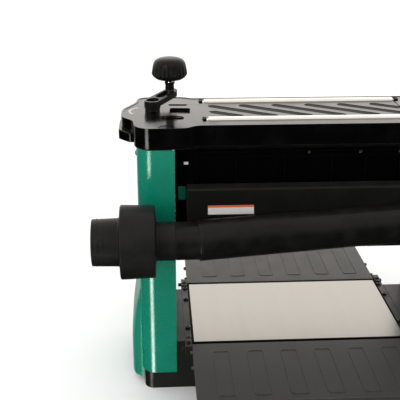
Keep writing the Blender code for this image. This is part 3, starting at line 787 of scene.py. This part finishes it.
def make_stock_rollers():
    for place in ("near", "far"):
        node = place + "_stock_roller"
        axis = middle(node)
        r = (high(node).z - low(node).z) / 2
        journal = 6.5
        length = high(node).x - low(node).x - 2 * journal
        end = [(0, -6.4), (2.9, -6.4), (3, 0), (r - 2.4, 0), (r - 2.4, 0.8), (r - 0.8, 0.8), (r, 1.8)]
        profile = [(reach, length - x) for reach, x in end] + end[::-1]
        roller = turned(profile, (low(node).x + journal, axis.y, axis.z), (1, 0, 0))
        piece(roller, node + "_tube", "chrome", node, [node], edge=0, sharp=25)


def make_crank():
    hub, knob = Vector((CRANK.x, CRANK.y)), Vector((KNOB.x, KNOB.y))
    deck = low("crank_arm").z
    arm = prism([capsule(hub, knob, 12.5, 11.5, 24)], deck + 7.2, deck + 15.7)
    along = (knob - hub).normalized()
    slope = 0.15
    climb = Matrix.Identity(4)
    climb[2][0], climb[2][1] = along * slope
    climb[2][3] = -along.dot(hub) * slope * MM
    arm.data.transform(climb)
    boss = [(0, 15.7), (12.2, 15.7), (12.4, 14), (12.4, 5), (11.6, 4), (11.6, 0), (0, 0)]
    join(arm, turned(boss, (*hub, deck), UP))
    channel = prism([capsule(hub + along * 20, knob - along * 4, 7.6)], deck + 11, deck + 20)
    channel.data.transform(climb)
    cut(arm, channel, rod((*hub, deck + 13), (*hub, deck + 20), 9.8))
    cut(arm, rod((*hub, deck - 2), (*hub, deck + 10.8), 5.4))
    piece(arm, "crank_lever", "arm_black", "crank", ["crank_arm"], edge=1.3, segments=3)
    stem = [(0, 36), (4.6, 36), (4.8, 35), (4.8, 12), (0, 12)]
    pin = turned(stem, (*knob, deck), UP)
    piece(pin, "crank_pin", "steel", "crank", edge=0)
    band = [(4.9, 40.2), (7.4, 40.2), (7.4, 36.6), (4.9, 36.6), (4.9, 40.2)]
    collar = turned(band, (*knob, deck), UP)
    piece(collar, "knob_collar", "chrome", "crank", edge=0.3)


def make_knob():
    flutes = 22

    def swell(angle, height):
        """Scallops that run out towards the domed top and the bevel below."""
        above = min(1.0, max(0.0, (67.0 - height) / 14.0))
        reach = above * min(1.0, max(0.0, (height - 40.0) / 6.0))
        wave = abs(math.cos(flutes / 2 * angle))
        return 1.0 - 0.055 * reach * (1.0 - wave ** 0.7)

    base = low("crank_knob").z - 16
    dome = [(0, 74.7), (4, 74.65), (8, 74.4), (12, 73.9), (16, 73), (19.5, 71.6), (22.2, 69.6), (24, 67.2),
            (25, 64.4), (25.7, 61.4), (26.3, 58), (26.8, 54.8), (27.3, 51.6), (27.5, 49.8), (27.3, 48.4),
            (26.4, 47), (25, 45.2), (23, 43.2), (20, 41.4), (16, 40.5), (11, 40.3), (8.8, 40.2), (5, 40.2),
            (5, 36.6), (7.9, 36.6), (7.9, 34), (6.9, 33), (6.7, 30), (7, 28), (7, 25), (6.8, 24), (5.3, 24),
            (5.3, 61), (0, 61)]
    knob = turned(dome, (KNOB.x, KNOB.y, base), UP, flutes * 8, swell)
    piece(knob, "crank_knob_grip", "knob_black", "crank_knob", ["crank_knob"], edge=0,
          sharp=60)


def arc_arrow(centre, radius, start, end, width, head):
    """A flat bent arrow that runs from one angle to another."""
    steps = 14

    def at(reach, angle):
        return centre[0] + reach * math.cos(angle), centre[1] + reach * math.sin(angle)

    angles = [start + (end - start) * i / steps for i in range(steps + 1)]
    outer = [at(radius + width / 2, angle) for angle in angles]
    inner = [at(radius - width / 2, angle) for angle in angles]
    tip = at(radius, end + math.copysign(head / radius, end - start))
    barb_out, barb_in = at(radius + width * 1.4, end), at(radius - width * 1.4, end)
    return outer + [barb_out, tip, barb_in] + inner[::-1]


def make_turn_mark():
    """A printed arrow beside the crank that shows its turn."""
    level = COVER_TOP - 0.75
    mark = arc_arrow((-236, 6), 24, math.radians(218), math.radians(132), 3.2, 8)
    arrow = prism([mark], level, level + 0.2)
    piece(arrow, "turn_arrow_print", "white_print", "machine", edge=0)


# Columns and lower body


def make_side_covers():
    near, far = low("crank_side_cover").y, high("crank_side_cover").y
    bottom, top = low("crank_side_cover").z, high("crank_side_cover").z
    for label, side in SIDES.items():
        corners = [(COLUMN_IN, near, 0), (COLUMN_OUT, near, 24), (COLUMN_OUT, far, 12),
                   (COLUMN_IN, far, 0)]
        hem = 7
        path = [(COLUMN_IN, near + hem), *rounded(corners, 14), (COLUMN_IN, far - hem)]
        wall = mirrored(ribbon(path, 1.5), side)
        skin = prism([wall], bottom, top)
        piece(skin, label + "_side_skin", "green_paint", "machine",
              [label + "_side_cover"], edge=0.5)
        places = [(side_x(side, COLUMN_OUT), y, z) for y in (-60, 60) for z in (top - 14, bottom + 170)]
        screws(label + "_cover_screws", pan_screw(4.2, 2.4), places, (side, 0, 0), "machine")


def make_lower_panels():
    """The bellied sheet at the foot of each column."""
    bottom, top = low("lower_side_panel_left").z, high("lower_side_panel_left").z
    bulge = high("lower_side_panel_right").x - BODY_X
    root, half, straight = COLUMN_OUT + 0.3, 77.0, 60.0
    across, levels = 28, 18
    for side in SIDES.values():
        rings = []
        for i in range(levels + 1):
            z = bottom if i == 0 else straight + (top - straight) * (i - 1) / (levels - 1)
            swell = math.cos(max(0.0, z - straight) / (top - straight) * math.pi / 2) ** 0.85
            ring = []
            for k in range(across + 1):
                y = -half + 2 * half * k / across
                crown = math.sqrt(max(0.0, 1 - abs(y / half) ** 5))
                ring.append((side_x(side, root + 0.4 + (bulge - root - 0.4) * swell * crown), y, z))
            ring += [(side_x(side, root - 7), half, z), (side_x(side, root - 7), -half, z)]
            rings.append(ring)
        name = "lower_side_panel_" + WORDS[side]
        piece(loft(rings), name + "_sheet", "green_plastic", "machine", [name], edge=0,
              sharp=50)


def make_base():
    dress("base_casting", "dark_casting", edge=1.2, segments=3)
    dress("bottom_cover", "steel", edge=0.3)
    dress("top_frame", "black_casting", edge=0.6)
    dress("bed_casting", "black_casting", edge=0.4)
    dress("bed_plate", "stainless", edge=0.5)
    for word in WORDS.values():
        dress("bed_rail_" + word, "dark_casting", edge=0.5)
    top = high("bed_rail_left").z
    rail_top = BED_TOP - 0.8
    rows = ((-174.6, (82, 42, -53, -84)), (174.2, (82, 44, -50, -84)))
    places = [(x, y, rail_top) for x, ys in rows for y in ys]
    screws("rail_screws", cap_screw(4.0, 2.6), places, UP, "machine")
    caps = [(side * 175.6, end * 101, top) for side in (-1, 1) for end in (-1, 1)]
    screws("hinge_screws", cap_screw(3.6, 2.0), caps, UP, "machine")


def make_tables():
    """Folding tables: a cast plate with raised panels above and ribs below."""
    top = BED_TOP - 0.3
    half = high("infeed_table").x
    for name, end in (("infeed", 1), ("outfeed", -1)):
        node = name + "_table"
        inner, outer = sorted((low(node).y, high(node).y), key=abs)
        floor = low(node).z
        plan = [(-half, inner, 1), (half, inner, 1), (half, outer, 10), (-half, outer, 10)]
        if end < 0:
            plan = plan[::-1]
        table = prism([rounded(plan)], top - 5, top)
        edge_strip = sorted((inner, inner + end * 12.5))
        hinge = prism([circle((end * 108, 79), 3.3, 24)], -half - 5, half + 5, "X")
        join(table, block((-half, edge_strip[0], floor), (half, edge_strip[1], top - 1)))
        cut(table, hinge)
        rim = sorted((outer, outer - end * 4))
        ribs = [block((-half + 9, rim[0], floor + 2), (half - 9, rim[1], top - 1))]
        for k in range(7):
            x = -half + 2 + k * (2 * half - 4) / 6
            span_y = sorted((inner + end * 10, outer - end * (9 if k in (0, 6) else 3)))
            ribs.append(block((x - 1.8, span_y[0], floor + 2), (x + 1.8, span_y[1], top - 1)))
        join(table, *ribs)
        for k in range(6):
            x = 133 - 52 * k
            a, b = sorted((end * 126, end * 241))
            ring = rounded_box(x - 13, a, x + 13, b, 5)
            join(table, prism([ring, moved(ring, 1.5)], top - 1, top + 0.7))
        piece(table, node + "_casting", "grey_casting", node, [node], edge=0.5)
        dress(name + "_hinge_rod", "black_oxide", edge=0.3)
        nubs = [facing((side * half, end * y, top - 2.6), (side, 0, 0))
                for side in (-1, 1) for y in (124, 167)]
        bumper = turned([(0, 4), (2.2, 4), (3, 3), (3, 0), (0, 0)], ORIGIN, UP, 24)
        piece(copies(bumper, nubs), name + "_table_stops", "rubber", node, edge=0)


# Head


def make_hood():
    node = "rear_hood"
    left, right = low(node).x, high(node).x
    outer = rounded([(-84.3, 343, 0), (-100, 340, 4), (-118, 262, 9), (-100, 244, 6), (-84.3, 244, 0)], 6)
    hood = prism([outer], left, right, "X")
    inner = rounded([(-70, 339, 0), (-97.3, 337, 3), (-114.6, 262.9, 7), (-98.8, 247, 4),
                     (-70, 247, 0)], 6)
    cut(hood, prism([inner], left + 3, right - 3, "X"))
    cut(hood, block((-148, -130, 270), (170, -104, 300)))
    piece(hood, "rear_hood_moulding", "hood_black", "head", [node], edge=1.2, segments=3)
    lip = prism([rounded([(-84.6, 343.1, 0), (-99.4, 340.6, 1.2), (-100.7, 336.8, 0), (-99.9, 336.8, 0),
                          (-98.2, 339.4, 1), (-84.6, 342, 0)], 3)], left + 2, right - 2, "X")
    piece(lip, "hood_lip", "satin_black", "head", edge=0)
    slope = Vector((0, -18, -78)).normalized()
    out = Vector((0, -78, 18)).normalized()
    for name, material, start, end in (("label_field", "label_white", 26.8, 36.8),
                                       ("label_band", "label_orange", 23.6, 26.8)):
        face = block((-147, start, 0), (-80, end, 0.25))
        turn = Matrix((Vector((1, 0, 0)), slope, out)).transposed().to_4x4()
        face.data.transform(Matrix.Translation(Vector((0, -100, 340)) * MM + out * 0.1 * MM) @ turn)
        piece(face, name, material, "head", edge=0.08)


def make_chute():
    """The tapered duct that runs along the hood into a round spigot."""
    y, z = DUCT.y, DUCT.z
    near, far = (-163, y, z), (188, -118, 293)
    chute = rod(near, far, 29, 28, 72)
    back = rounded([(-95, 265, 0), (-95, 299, 0), (-138, 299, 12), (-138, 265, 12)], 6)
    join(chute, prism([back], -152, 182, "X"))
    collar = [(0, 37), (27, 37), (27, 4), (28.9, 0), (0, 0)]
    join(chute, turned(collar, (-158, y, z), (-1, 0, 0), 72))
    hood_face = [(-88.9, 390), (-100.4, 340), (-118.4, 262), (-130, 210), (-20, 210), (-20, 390)]
    cut(chute, prism([hood_face], -300, 300, "X"))
    cut(chute, rod((-160, y, z), (182, -118.6, 292.8), 26, 25, 72))
    cut(chute, block((-148, -128, 269), (176, -80, 296)))
    cut(chute, rod((-210, y, z), (-150, y, z), 24, steps=72))
    piece(chute, "dust_chute_moulding", "duct_black", "head", ["dust_chute"],
          edge=2.2, segments=4, angle=50)


def make_adapter():
    """Sleeve, wide collar and spout of the stepped dust fitting."""
    left, right = low("dust_adapter").x, high("dust_adapter").x
    bore, spout_bore = 24.2, 30
    steps = [(bore, right, 0), (27.6, right, 1.2), (27.4, right - 27, 2.5), (51, right - 28.5, 2.2),
             (52.5, right - 77, 2.2), (34, right - 78.5, 3), (33, left, 0.8), (spout_bore, left, 0.8),
             (spout_bore, right - 72, 4), (bore, right - 52, 3)]
    profile = rounded([(r, -x, f) for r, x, f in steps], 6)
    profile.append(profile[0])
    fitting = turned(profile[::-1], (0, DUCT.y, DUCT.z), (-1, 0, 0), 96)
    band = [(31.5, 1.6), (33.6, 0.5), (33.6, -0.5), (31.5, -1.6), (31.5, 1.6)]
    bands = [turned(band, (left + x, DUCT.y, DUCT.z), (-1, 0, 0), 96) for x in (7, 14, 21)]
    piece(group(fitting, *bands), "dust_adapter_moulding", "satin_black", "head",
          ["dust_adapter"], edge=0, sharp=50)


def make_motor_hood():
    """The sheet box over the motor, with louvres and a ribbed rear face."""
    a, b = low("motor_hood"), high("motor_hood")
    hood = block(a, b)
    round_edges(hood, 4, 4)
    settle(hood)
    cut(hood, block((a.x + 1.5, a.y + 1.5, a.z - 20), (b.x - 1.5, b.y - 1.5, b.z - 1.5)))
    cut(hood, block((150, 8, 280), (170, 32, 360)))
    slots = []
    for x in range(-132, 133, 24):
        for z in (a.z + 30, a.z + 42, a.z + 54):
            slots.append(block((x - 8, b.y - 4, z), (x + 8, b.y + 4, z + 3)))
    for y in range(-40, 49, 11):
        slots.append(block((-120, y - 1.5, b.z - 4), (120, y + 1.5, b.z + 4)))
    cut(hood, group(*slots))
    piece(hood, "motor_hood_sheet", "black_casting", "head", ["motor_hood"], edge=0.3)
    ribs = [block((x - 1.2, a.y - 3.6, a.z + 8), (x + 1.2, a.y + 0.2, b.z - 14))
            for x in (-103, -31, 40, 90, 142)]
    ribs.append(block((-158, a.y - 3.2, b.z - 12), (158, a.y + 0.2, b.z - 8)))
    piece(group(*ribs), "motor_hood_ribs", "black_casting", "head", edge=0.5)
    places = [(x, a.y, b.z - 5.4) for x in (5, 82, 141)]
    screws("motor_hood_screws", pan_screw(2.8, 2.0), places, (0, -1, 0), "head")


def make_end_guards():
    """Sheets that close the gap between the head's ends and the columns."""
    for label, side in SIDES.items():
        inner, outer = reaches(side, 173, 205.4)
        guard = prism([rounded_box(inner, 250, outer, 391.5, 0.6)], -71, -69.5, "Y")
        join(guard, block((inner + 0.2, -70, 390), (outer - 0.2, -44, 391.4)))
        inner, outer = reaches(side, 190, 201)
        cut(guard, block((inner, -80, 313), (outer, -60, 335)))
        piece(guard, label + "_end_guard", "black_casting", "head", edge=0.4)
        cheek = block((inner - 2, -69.2, 308), (outer + 2, -67.7, 338))
        piece(cheek, label + "_end_cheek", "green_paint", "head", edge=0.4)
        inner, outer = reaches(side, 186, 192.5)
        catch = block((inner, -72.4, 369), (outer, -70.8, 373))
        piece(catch, label + "_guard_catch", "white_print", "head", edge=0.5)


def make_cutterhead():
    """A helical head: rows of square carbide inserts on a turned body."""
    node = "cutterhead"
    axis = middle(node)
    body_r, cut_r = 22.0, (high(node).z - low(node).z) / 2
    left, right = low(node).x, high(node).x
    profile = [(0, right), (7.6, right), (8, right - 0.6), (8, 166), (18, 166), (body_r - 1, 165),
               (body_r, 164), (body_r, -164), (body_r - 1, -165), (18, -166), (8, -166), (8, left + 0.6),
               (7.6, left), (0, left)]
    drum = turned(profile, (0, axis.y, axis.z), (1, 0, 0), 96)
    rows, in_row, twist = 6, 13, math.radians(64)
    pockets, inserts, heads = [], [], []
    for row in range(rows):
        for k in range(in_row):
            x = -150 + 300 * (k + (row % 2) * 0.5) / (in_row - 0.5)
            angle = TAU * row / rows + twist * x / 300
            spin = shift(x, axis.y, axis.z) @ Matrix.Rotation(angle, 4, "X")
            pockets.append(spin @ shift(0, -3, body_r - 1.2))
            inserts.append(spin @ shift(0, 1, body_r - 0.6))
            heads.append(spin @ shift(0, 1, body_r + 0.6))
    cut(drum, copies(block((-8.2, -8, 0), (8.2, 8, 6)), pockets))
    piece(drum, "cutterhead_body", "turned_steel", node, [node], edge=0)
    insert = block((-7, -7, -1.5), (7, 7, cut_r - body_r - 0.4))
    piece(copies(insert, inserts), "carbide_inserts", "carbide", node, edge=0.4)
    screw = cap_screw(3.4, 1.3, 20)
    piece(copies(screw, heads), "insert_screws", "black_oxide", node, edge=0)
    dress("cutterhead_pulley", "aluminium", edge=0.5)
    for word in WORDS.values():
        dress("cutterhead_bearing_" + word, "steel", edge=0.3)


def make_feed_rollers():
    """Rubber-faced rollers with shallow grooves, on steel shafts."""
    for place in ("infeed", "outfeed"):
        node, body = place + "_feed_roller", place + "_roller"
        axis = middle(node)
        radius = (high(node).z - low(node).z) / 2
        ribs = 24
        rim = []
        for i in range(ribs * 6):
            reach = radius - (1.0 if i % 6 in (0, 1) else 0.0)
            angle = TAU * i / (ribs * 6)
            rim.append((axis.y + reach * math.cos(angle), axis.z + reach * math.sin(angle)))
        sleeve = prism([rim, circle((axis.y, axis.z), 12)], -163.5, 163.5, "X")
        piece(sleeve, node + "_rubber", "rubber", body, [node], edge=0.3)
        end = high(node).x
        half = [(0, end), (7.4, end), (8, end - 0.6), (8, 164), (12.2, 164)]
        profile = half + [(reach, -x) for reach, x in half[::-1]]
        shaft = turned(profile, (0, axis.y, axis.z), (1, 0, 0))
        piece(shaft, node + "_shaft", "turned_steel", body, edge=0)


def make_head_parts():
    for node, material, edge in (
        ("head_left_casting", "black_casting", 1.0), ("head_right_casting", "black_casting", 1.0),
        ("head_top_plate", "black_casting", 0.5), ("motor_housing", "black_casting", 0.8),
        ("motor_rotor", "turned_steel", 0.4), ("drive_belt", "rubber", 0.4),
        ("chip_deflector", "steel", 0.3), ("drive_cover", "satin_black", 2.5),
        ("lift_nut_left", "brass", 0.4), ("lift_nut_right", "brass", 0.4),
        ("height_pointer", "red_plastic", 0.4),
    ):
        dress(node, material, edge, 3)
    dress("front_cover", "green_paint", 3.5, 5)
    bottom, top = low("front_cover"), high("front_cover")
    places = [(x, top.y, top.z - 18) for x in (-150, -50, 70, 182)]
    screws("front_cover_screws", pan_screw(4.2, 2.4), places, (0, 1, 0), "head")
    rim = rounded_box(-62, bottom.z + 24, 94, top.z - 22, 6)
    plate = prism([rim], top.y - 0.1, top.y + 0.6, "Y")
    piece(plate, "front_plate", "aluminium", "head", edge=0.2)
    cover = high("drive_cover")
    places = [(cover.x, y, z) for y, z in ((-55, 240), (55, 240), (45, 374), (-55, 268))]
    screws("drive_cover_screws", pan_screw(4.2, 2.4), places, (1, 0, 0), "head")


# Lift and controls


def thread(node):
    """A leadscrew with its thread cut along the plain shank, 16 turns to the inch."""
    pitch = 25.4 / 16
    a, b = low(node), high(node)
    centre = middle(node)
    thread_low, thread_high = 26.0, 410.0
    sides, per_turn = 20, 4
    top_r, root_r = (b.x - a.x) / 2, (b.x - a.x) / 2 - 0.85
    count = int((thread_high - thread_low) / pitch * per_turn)
    profile = [(top_r, thread_low + i * pitch / per_turn) for i in range(count, -1, -1)]
    head = [(0, b.z), (4.6, b.z), (5, b.z - 0.5), (5, 411), (top_r - 1, 411)]
    tail = [(top_r - 1, 25), (5, 25), (5, a.z + 0.5), (4.6, a.z), (0, a.z)]

    def swell(angle, height):
        if not thread_low <= height <= thread_high:
            return 1.0
        phase = ((height - thread_low) / pitch - angle / TAU) % 1.0
        crest = 1.0 - abs(2 * phase - 1)
        return (root_r + (top_r - root_r) * crest) / top_r

    return turned(head + profile + tail, (centre.x, centre.y, 0), UP, sides, swell)


def make_lift():
    for label, body in (("crank", "crank"), ("drive", "drive_screw")):
        node = label + "_leadscrew"
        piece(thread(node), node + "_thread", "steel", body, [node], edge=0, sharp=80)
        dress(label + "_sprocket", "steel", edge=0.3)
        for place in ("outfeed", "infeed"):
            dress("guide_post_%s_%s" % (label, place), "turned_steel", edge=0.6)


def make_chain():
    """Roller chain round both sprockets: side plates and rollers at each pitch."""
    a, b = low("lift_chain"), high("lift_chain")
    pitch, rim = 6.35, 1.8
    radius = (b.y - a.y) / 2 - rim
    y0 = (a.y + b.y) / 2
    x0, x1 = a.x + radius + rim, b.x - radius - rim
    straight = x1 - x0
    around = 2 * straight + TAU * radius
    links = 2 * round(around / pitch / 2)
    step = around / links

    def at(distance):
        s = distance % around
        if s < straight:
            return Vector((x0 + s, y0 - radius)), 0.0
        s -= straight
        if s < math.pi * radius:
            turn = s / radius
            return Vector((x1 + radius * math.sin(turn), y0 - radius * math.cos(turn))), turn
        s -= math.pi * radius
        if s < straight:
            return Vector((x1 - s, y0 + radius)), math.pi
        turn = math.pi + (s - straight) / radius
        return Vector((x0 + radius * math.sin(turn), y0 - radius * math.cos(turn))), turn

    plates, rollers = [], []
    for i in range(links):
        here, on = at(i * step)[0], at((i + 1) * step)[0]
        heading = math.atan2((on - here).y, (on - here).x)
        mid = (here + on) / 2
        for level in ((8.0, 12.0) if i % 2 else (8.7, 11.3)):
            plates.append(shift(*mid, level) @ Matrix.Rotation(heading, 4, "Z"))
        rollers.append(shift(*here, 10))
    link = prism([capsule((-step / 2, 0), (step / 2, 0), 1.75, steps=5)], -0.25, 0.25)
    plate_set = copies(link, plates)
    roller_set = copies(rod((0, 0, -2), (0, 0, 2), 1.5, steps=10), rollers)
    piece(group(plate_set, roller_set), "lift_chain_links", "black_oxide", "machine",
          ["lift_chain"], edge=0)


def make_controls():
    dress("switch_box", "satin_black", 1.2, 3)
    dress("switch_paddle", "red_plastic", 1.0, 3)
    dress("reset_button", "red_plastic", 0.6)
    dress("cord_gland", "satin_black", 0.4)
    knob, root = middle("depth_stop_knob"), low("depth_stop_knob").y

    def swell(angle, height):
        return 1.0 - (0.07 * (1 - abs(math.cos(4 * angle))) if 7 < height < 21 else 0.0)

    profile = [(0, 22), (11, 22), (13.6, 21.2), (15, 19), (15, 9), (13.6, 7.6), (7, 6.4), (6, 5), (6, 0),
               (0, 0)]
    grip = turned(profile, (knob.x, root, knob.z), (0, 1, 0), 64, swell)
    piece(grip, "depth_stop_grip", "knob_black", "depth_stop", ["depth_stop_knob"], edge=0)
    a, b = low("switch_box"), high("switch_box")
    places = [(x, b.y - 12, z) for x in (a.x + 5, b.x - 5) for z in (a.z + 5, b.z - 5)]
    screws("switch_screws", pan_screw(2.6, 1.4), places, (0, 1, 0), "machine")


def make_scale():
    """Millimetre marks, and half-inch marks on the other edge, on the height scale."""
    dress("depth_scale", "aluminium", 0.2)
    a, b = low("depth_scale"), high("depth_scale")
    face = b.y
    marks = []
    rest_opening, pointer_half = 146.0, 3
    zero = high("height_pointer").z - pointer_half - rest_opening
    for k in range(int(b.z - zero)):
        z = zero + k
        if z < a.z + 4:
            continue
        reach = 9 if k % 10 == 0 else 6 if k % 5 == 0 else 3.5
        marks.append(block((a.x + 1.5, face - 0.1, z - 0.12), (a.x + 1.5 + reach, face + 0.12, z + 0.12)))
    for k in range(13):
        z = zero + k * 12.7
        if a.z + 4 < z < b.z - 3:
            marks.append(block((b.x - 1.5 - (9 if k % 2 == 0 else 5), face - 0.1, z - 0.15),
                               (b.x - 1.5, face + 0.12, z + 0.15)))
    piece(group(*marks), "scale_marks", "black_print", "machine", edge=0)


# Studio


SENSOR, LENS = 36, 70.5
CAMERA_PLACE = (-217, -1158, 736)
YAW, PITCH, ROLL = 3.18, 21.25, 0.11
LAMP_X, LAMP_Y = -0.5, -0.866
LAMP_TONE = (22.0, 21.7, 21.2)
WALL_TONE = (1.0, 0.965, 0.91)
MATT_TONE = (1.25, 1.25, 1.25)


def make_camera():
    data = bpy.data.cameras.new("camera")
    data.sensor_width = SENSOR
    data.lens = LENS
    data.clip_end = 60
    camera = bpy.data.objects.new("camera", data)
    camera.location = Vector(CAMERA_PLACE) * MM
    look = Matrix.Rotation(math.radians(-YAW), 3, "Z") @ Matrix.Rotation(math.radians(90 - PITCH), 3, "X")
    camera.rotation_euler = (look @ Matrix.Rotation(math.radians(ROLL), 3, "Z")).to_euler()
    bpy.context.scene.collection.objects.link(camera)
    bpy.context.scene.camera = camera


def make_floor():
    bm = bmesh.new()
    bmesh.ops.create_grid(bm, x_segments=2, y_segments=2, size=20)
    floor = from_bmesh(bm, "floor")
    paper = Finish("floor_paper", (0.88, 0.88, 0.88), 0.9)
    paper.tint(paper.mix(paper.noise(400, 3.0), (0.86, 0.86, 0.86), (0.9, 0.9, 0.9)))
    floor.data.materials.append(paper.material)
    floor.visible_glossy = False


def add_light(name, place, target, size, power, colour=(1, 1, 1)):
    data = bpy.data.lights.new(name, "AREA")
    data.shape = "RECTANGLE"
    data.size, data.size_y = size
    data.energy = power
    data.color = colour
    lamp = bpy.data.objects.new(name, data)
    lamp.location = place
    lamp.rotation_euler = (Vector(target) - Vector(place)).to_track_quat("-Z", "Y").to_euler()
    lamp.visible_camera = False
    bpy.context.scene.collection.objects.link(lamp)


class Sky(Finish):
    """The studio's surroundings, made with the same calls as a material."""

    def __init__(self):
        self.world = bpy.data.worlds.new("studio")
        self.world.use_nodes = True
        self.tree = self.world.node_tree

    def band(self, value, start, end, soft):
        """1 between two values, with soft ends."""
        rise = self.span(value, start - soft, start)
        fall = self.span(value, end, end + soft, 1.0, 0.0)
        return self.times(rise, fall)


def make_sky():
    """White to the eye and to matt surfaces; gloss sees bright walls, a dark floor and a tall lamp."""
    sky = Sky()
    toward = sky.node("ShaderNodeTexCoord").outputs["Generated"]
    axes = sky.node("ShaderNodeSeparateXYZ", Vector=toward).outputs
    lean = sky.math("ADD", axes["Z"], sky.times(axes["Y"], 0.25))
    wall = sky.math("MAXIMUM", sky.span(lean, -0.05, 0.25), sky.span(axes["Y"], 0.6, 0.95, 0.0, 0.7))
    wall = sky.times(wall, sky.span(axes["Y"], -0.5, 0.8, 0.9, 1.5))
    across = sky.math("ADD", sky.times(axes["X"], -LAMP_Y), sky.times(axes["Y"], LAMP_X))
    ahead = sky.math("ADD", sky.times(axes["X"], LAMP_X), sky.times(axes["Y"], LAMP_Y))
    lamp = sky.times(sky.band(across, -0.12, 0.12, 0.07), sky.math("GREATER_THAN", ahead, 0.0))
    lamp = sky.times(lamp, sky.band(axes["Z"], -0.7, -0.29, 0.03))
    wall = sky.mix(wall, (0.0, 0.0, 0.0), WALL_TONE)
    gloss = sky.mix(lamp, wall, LAMP_TONE)
    ray = sky.node("ShaderNodeLightPath").outputs
    seen = sky.mix(ray["Is Diffuse Ray"], gloss, MATT_TONE)
    seen = sky.mix(ray["Is Camera Ray"], seen, (1.0, 1.0, 1.0))
    sky.set(sky.tree.nodes["Background"], "Color", seen)
    bpy.context.scene.world = sky.world


def make_light():
    bpy.context.scene.view_settings.view_transform = "Standard"
    warm = (1.0, 0.955, 0.91)
    add_light("rear_softbox", (0.1, 2.6, 1.25), (0, 0, 0.3), (3.8, 1.3), 8, warm)
    add_light("left_strip", (-0.85, -0.95, 0.75), (-0.24, -0.09, 0.3), (0.14, 0.8), 2.5)


for make in (
    make_camera, make_floor, make_sky, make_light, make_base, make_tables, make_side_covers,
    make_lower_panels, make_top_cover, make_panel_grooves, make_carry_handles, make_stock_rollers,
    make_crank, make_knob, make_turn_mark, make_hood, make_chute, make_adapter, make_motor_hood,
    make_end_guards, make_cutterhead, make_feed_rollers, make_head_parts, make_lift, make_chain,
    make_controls, make_scale,
):
    make()
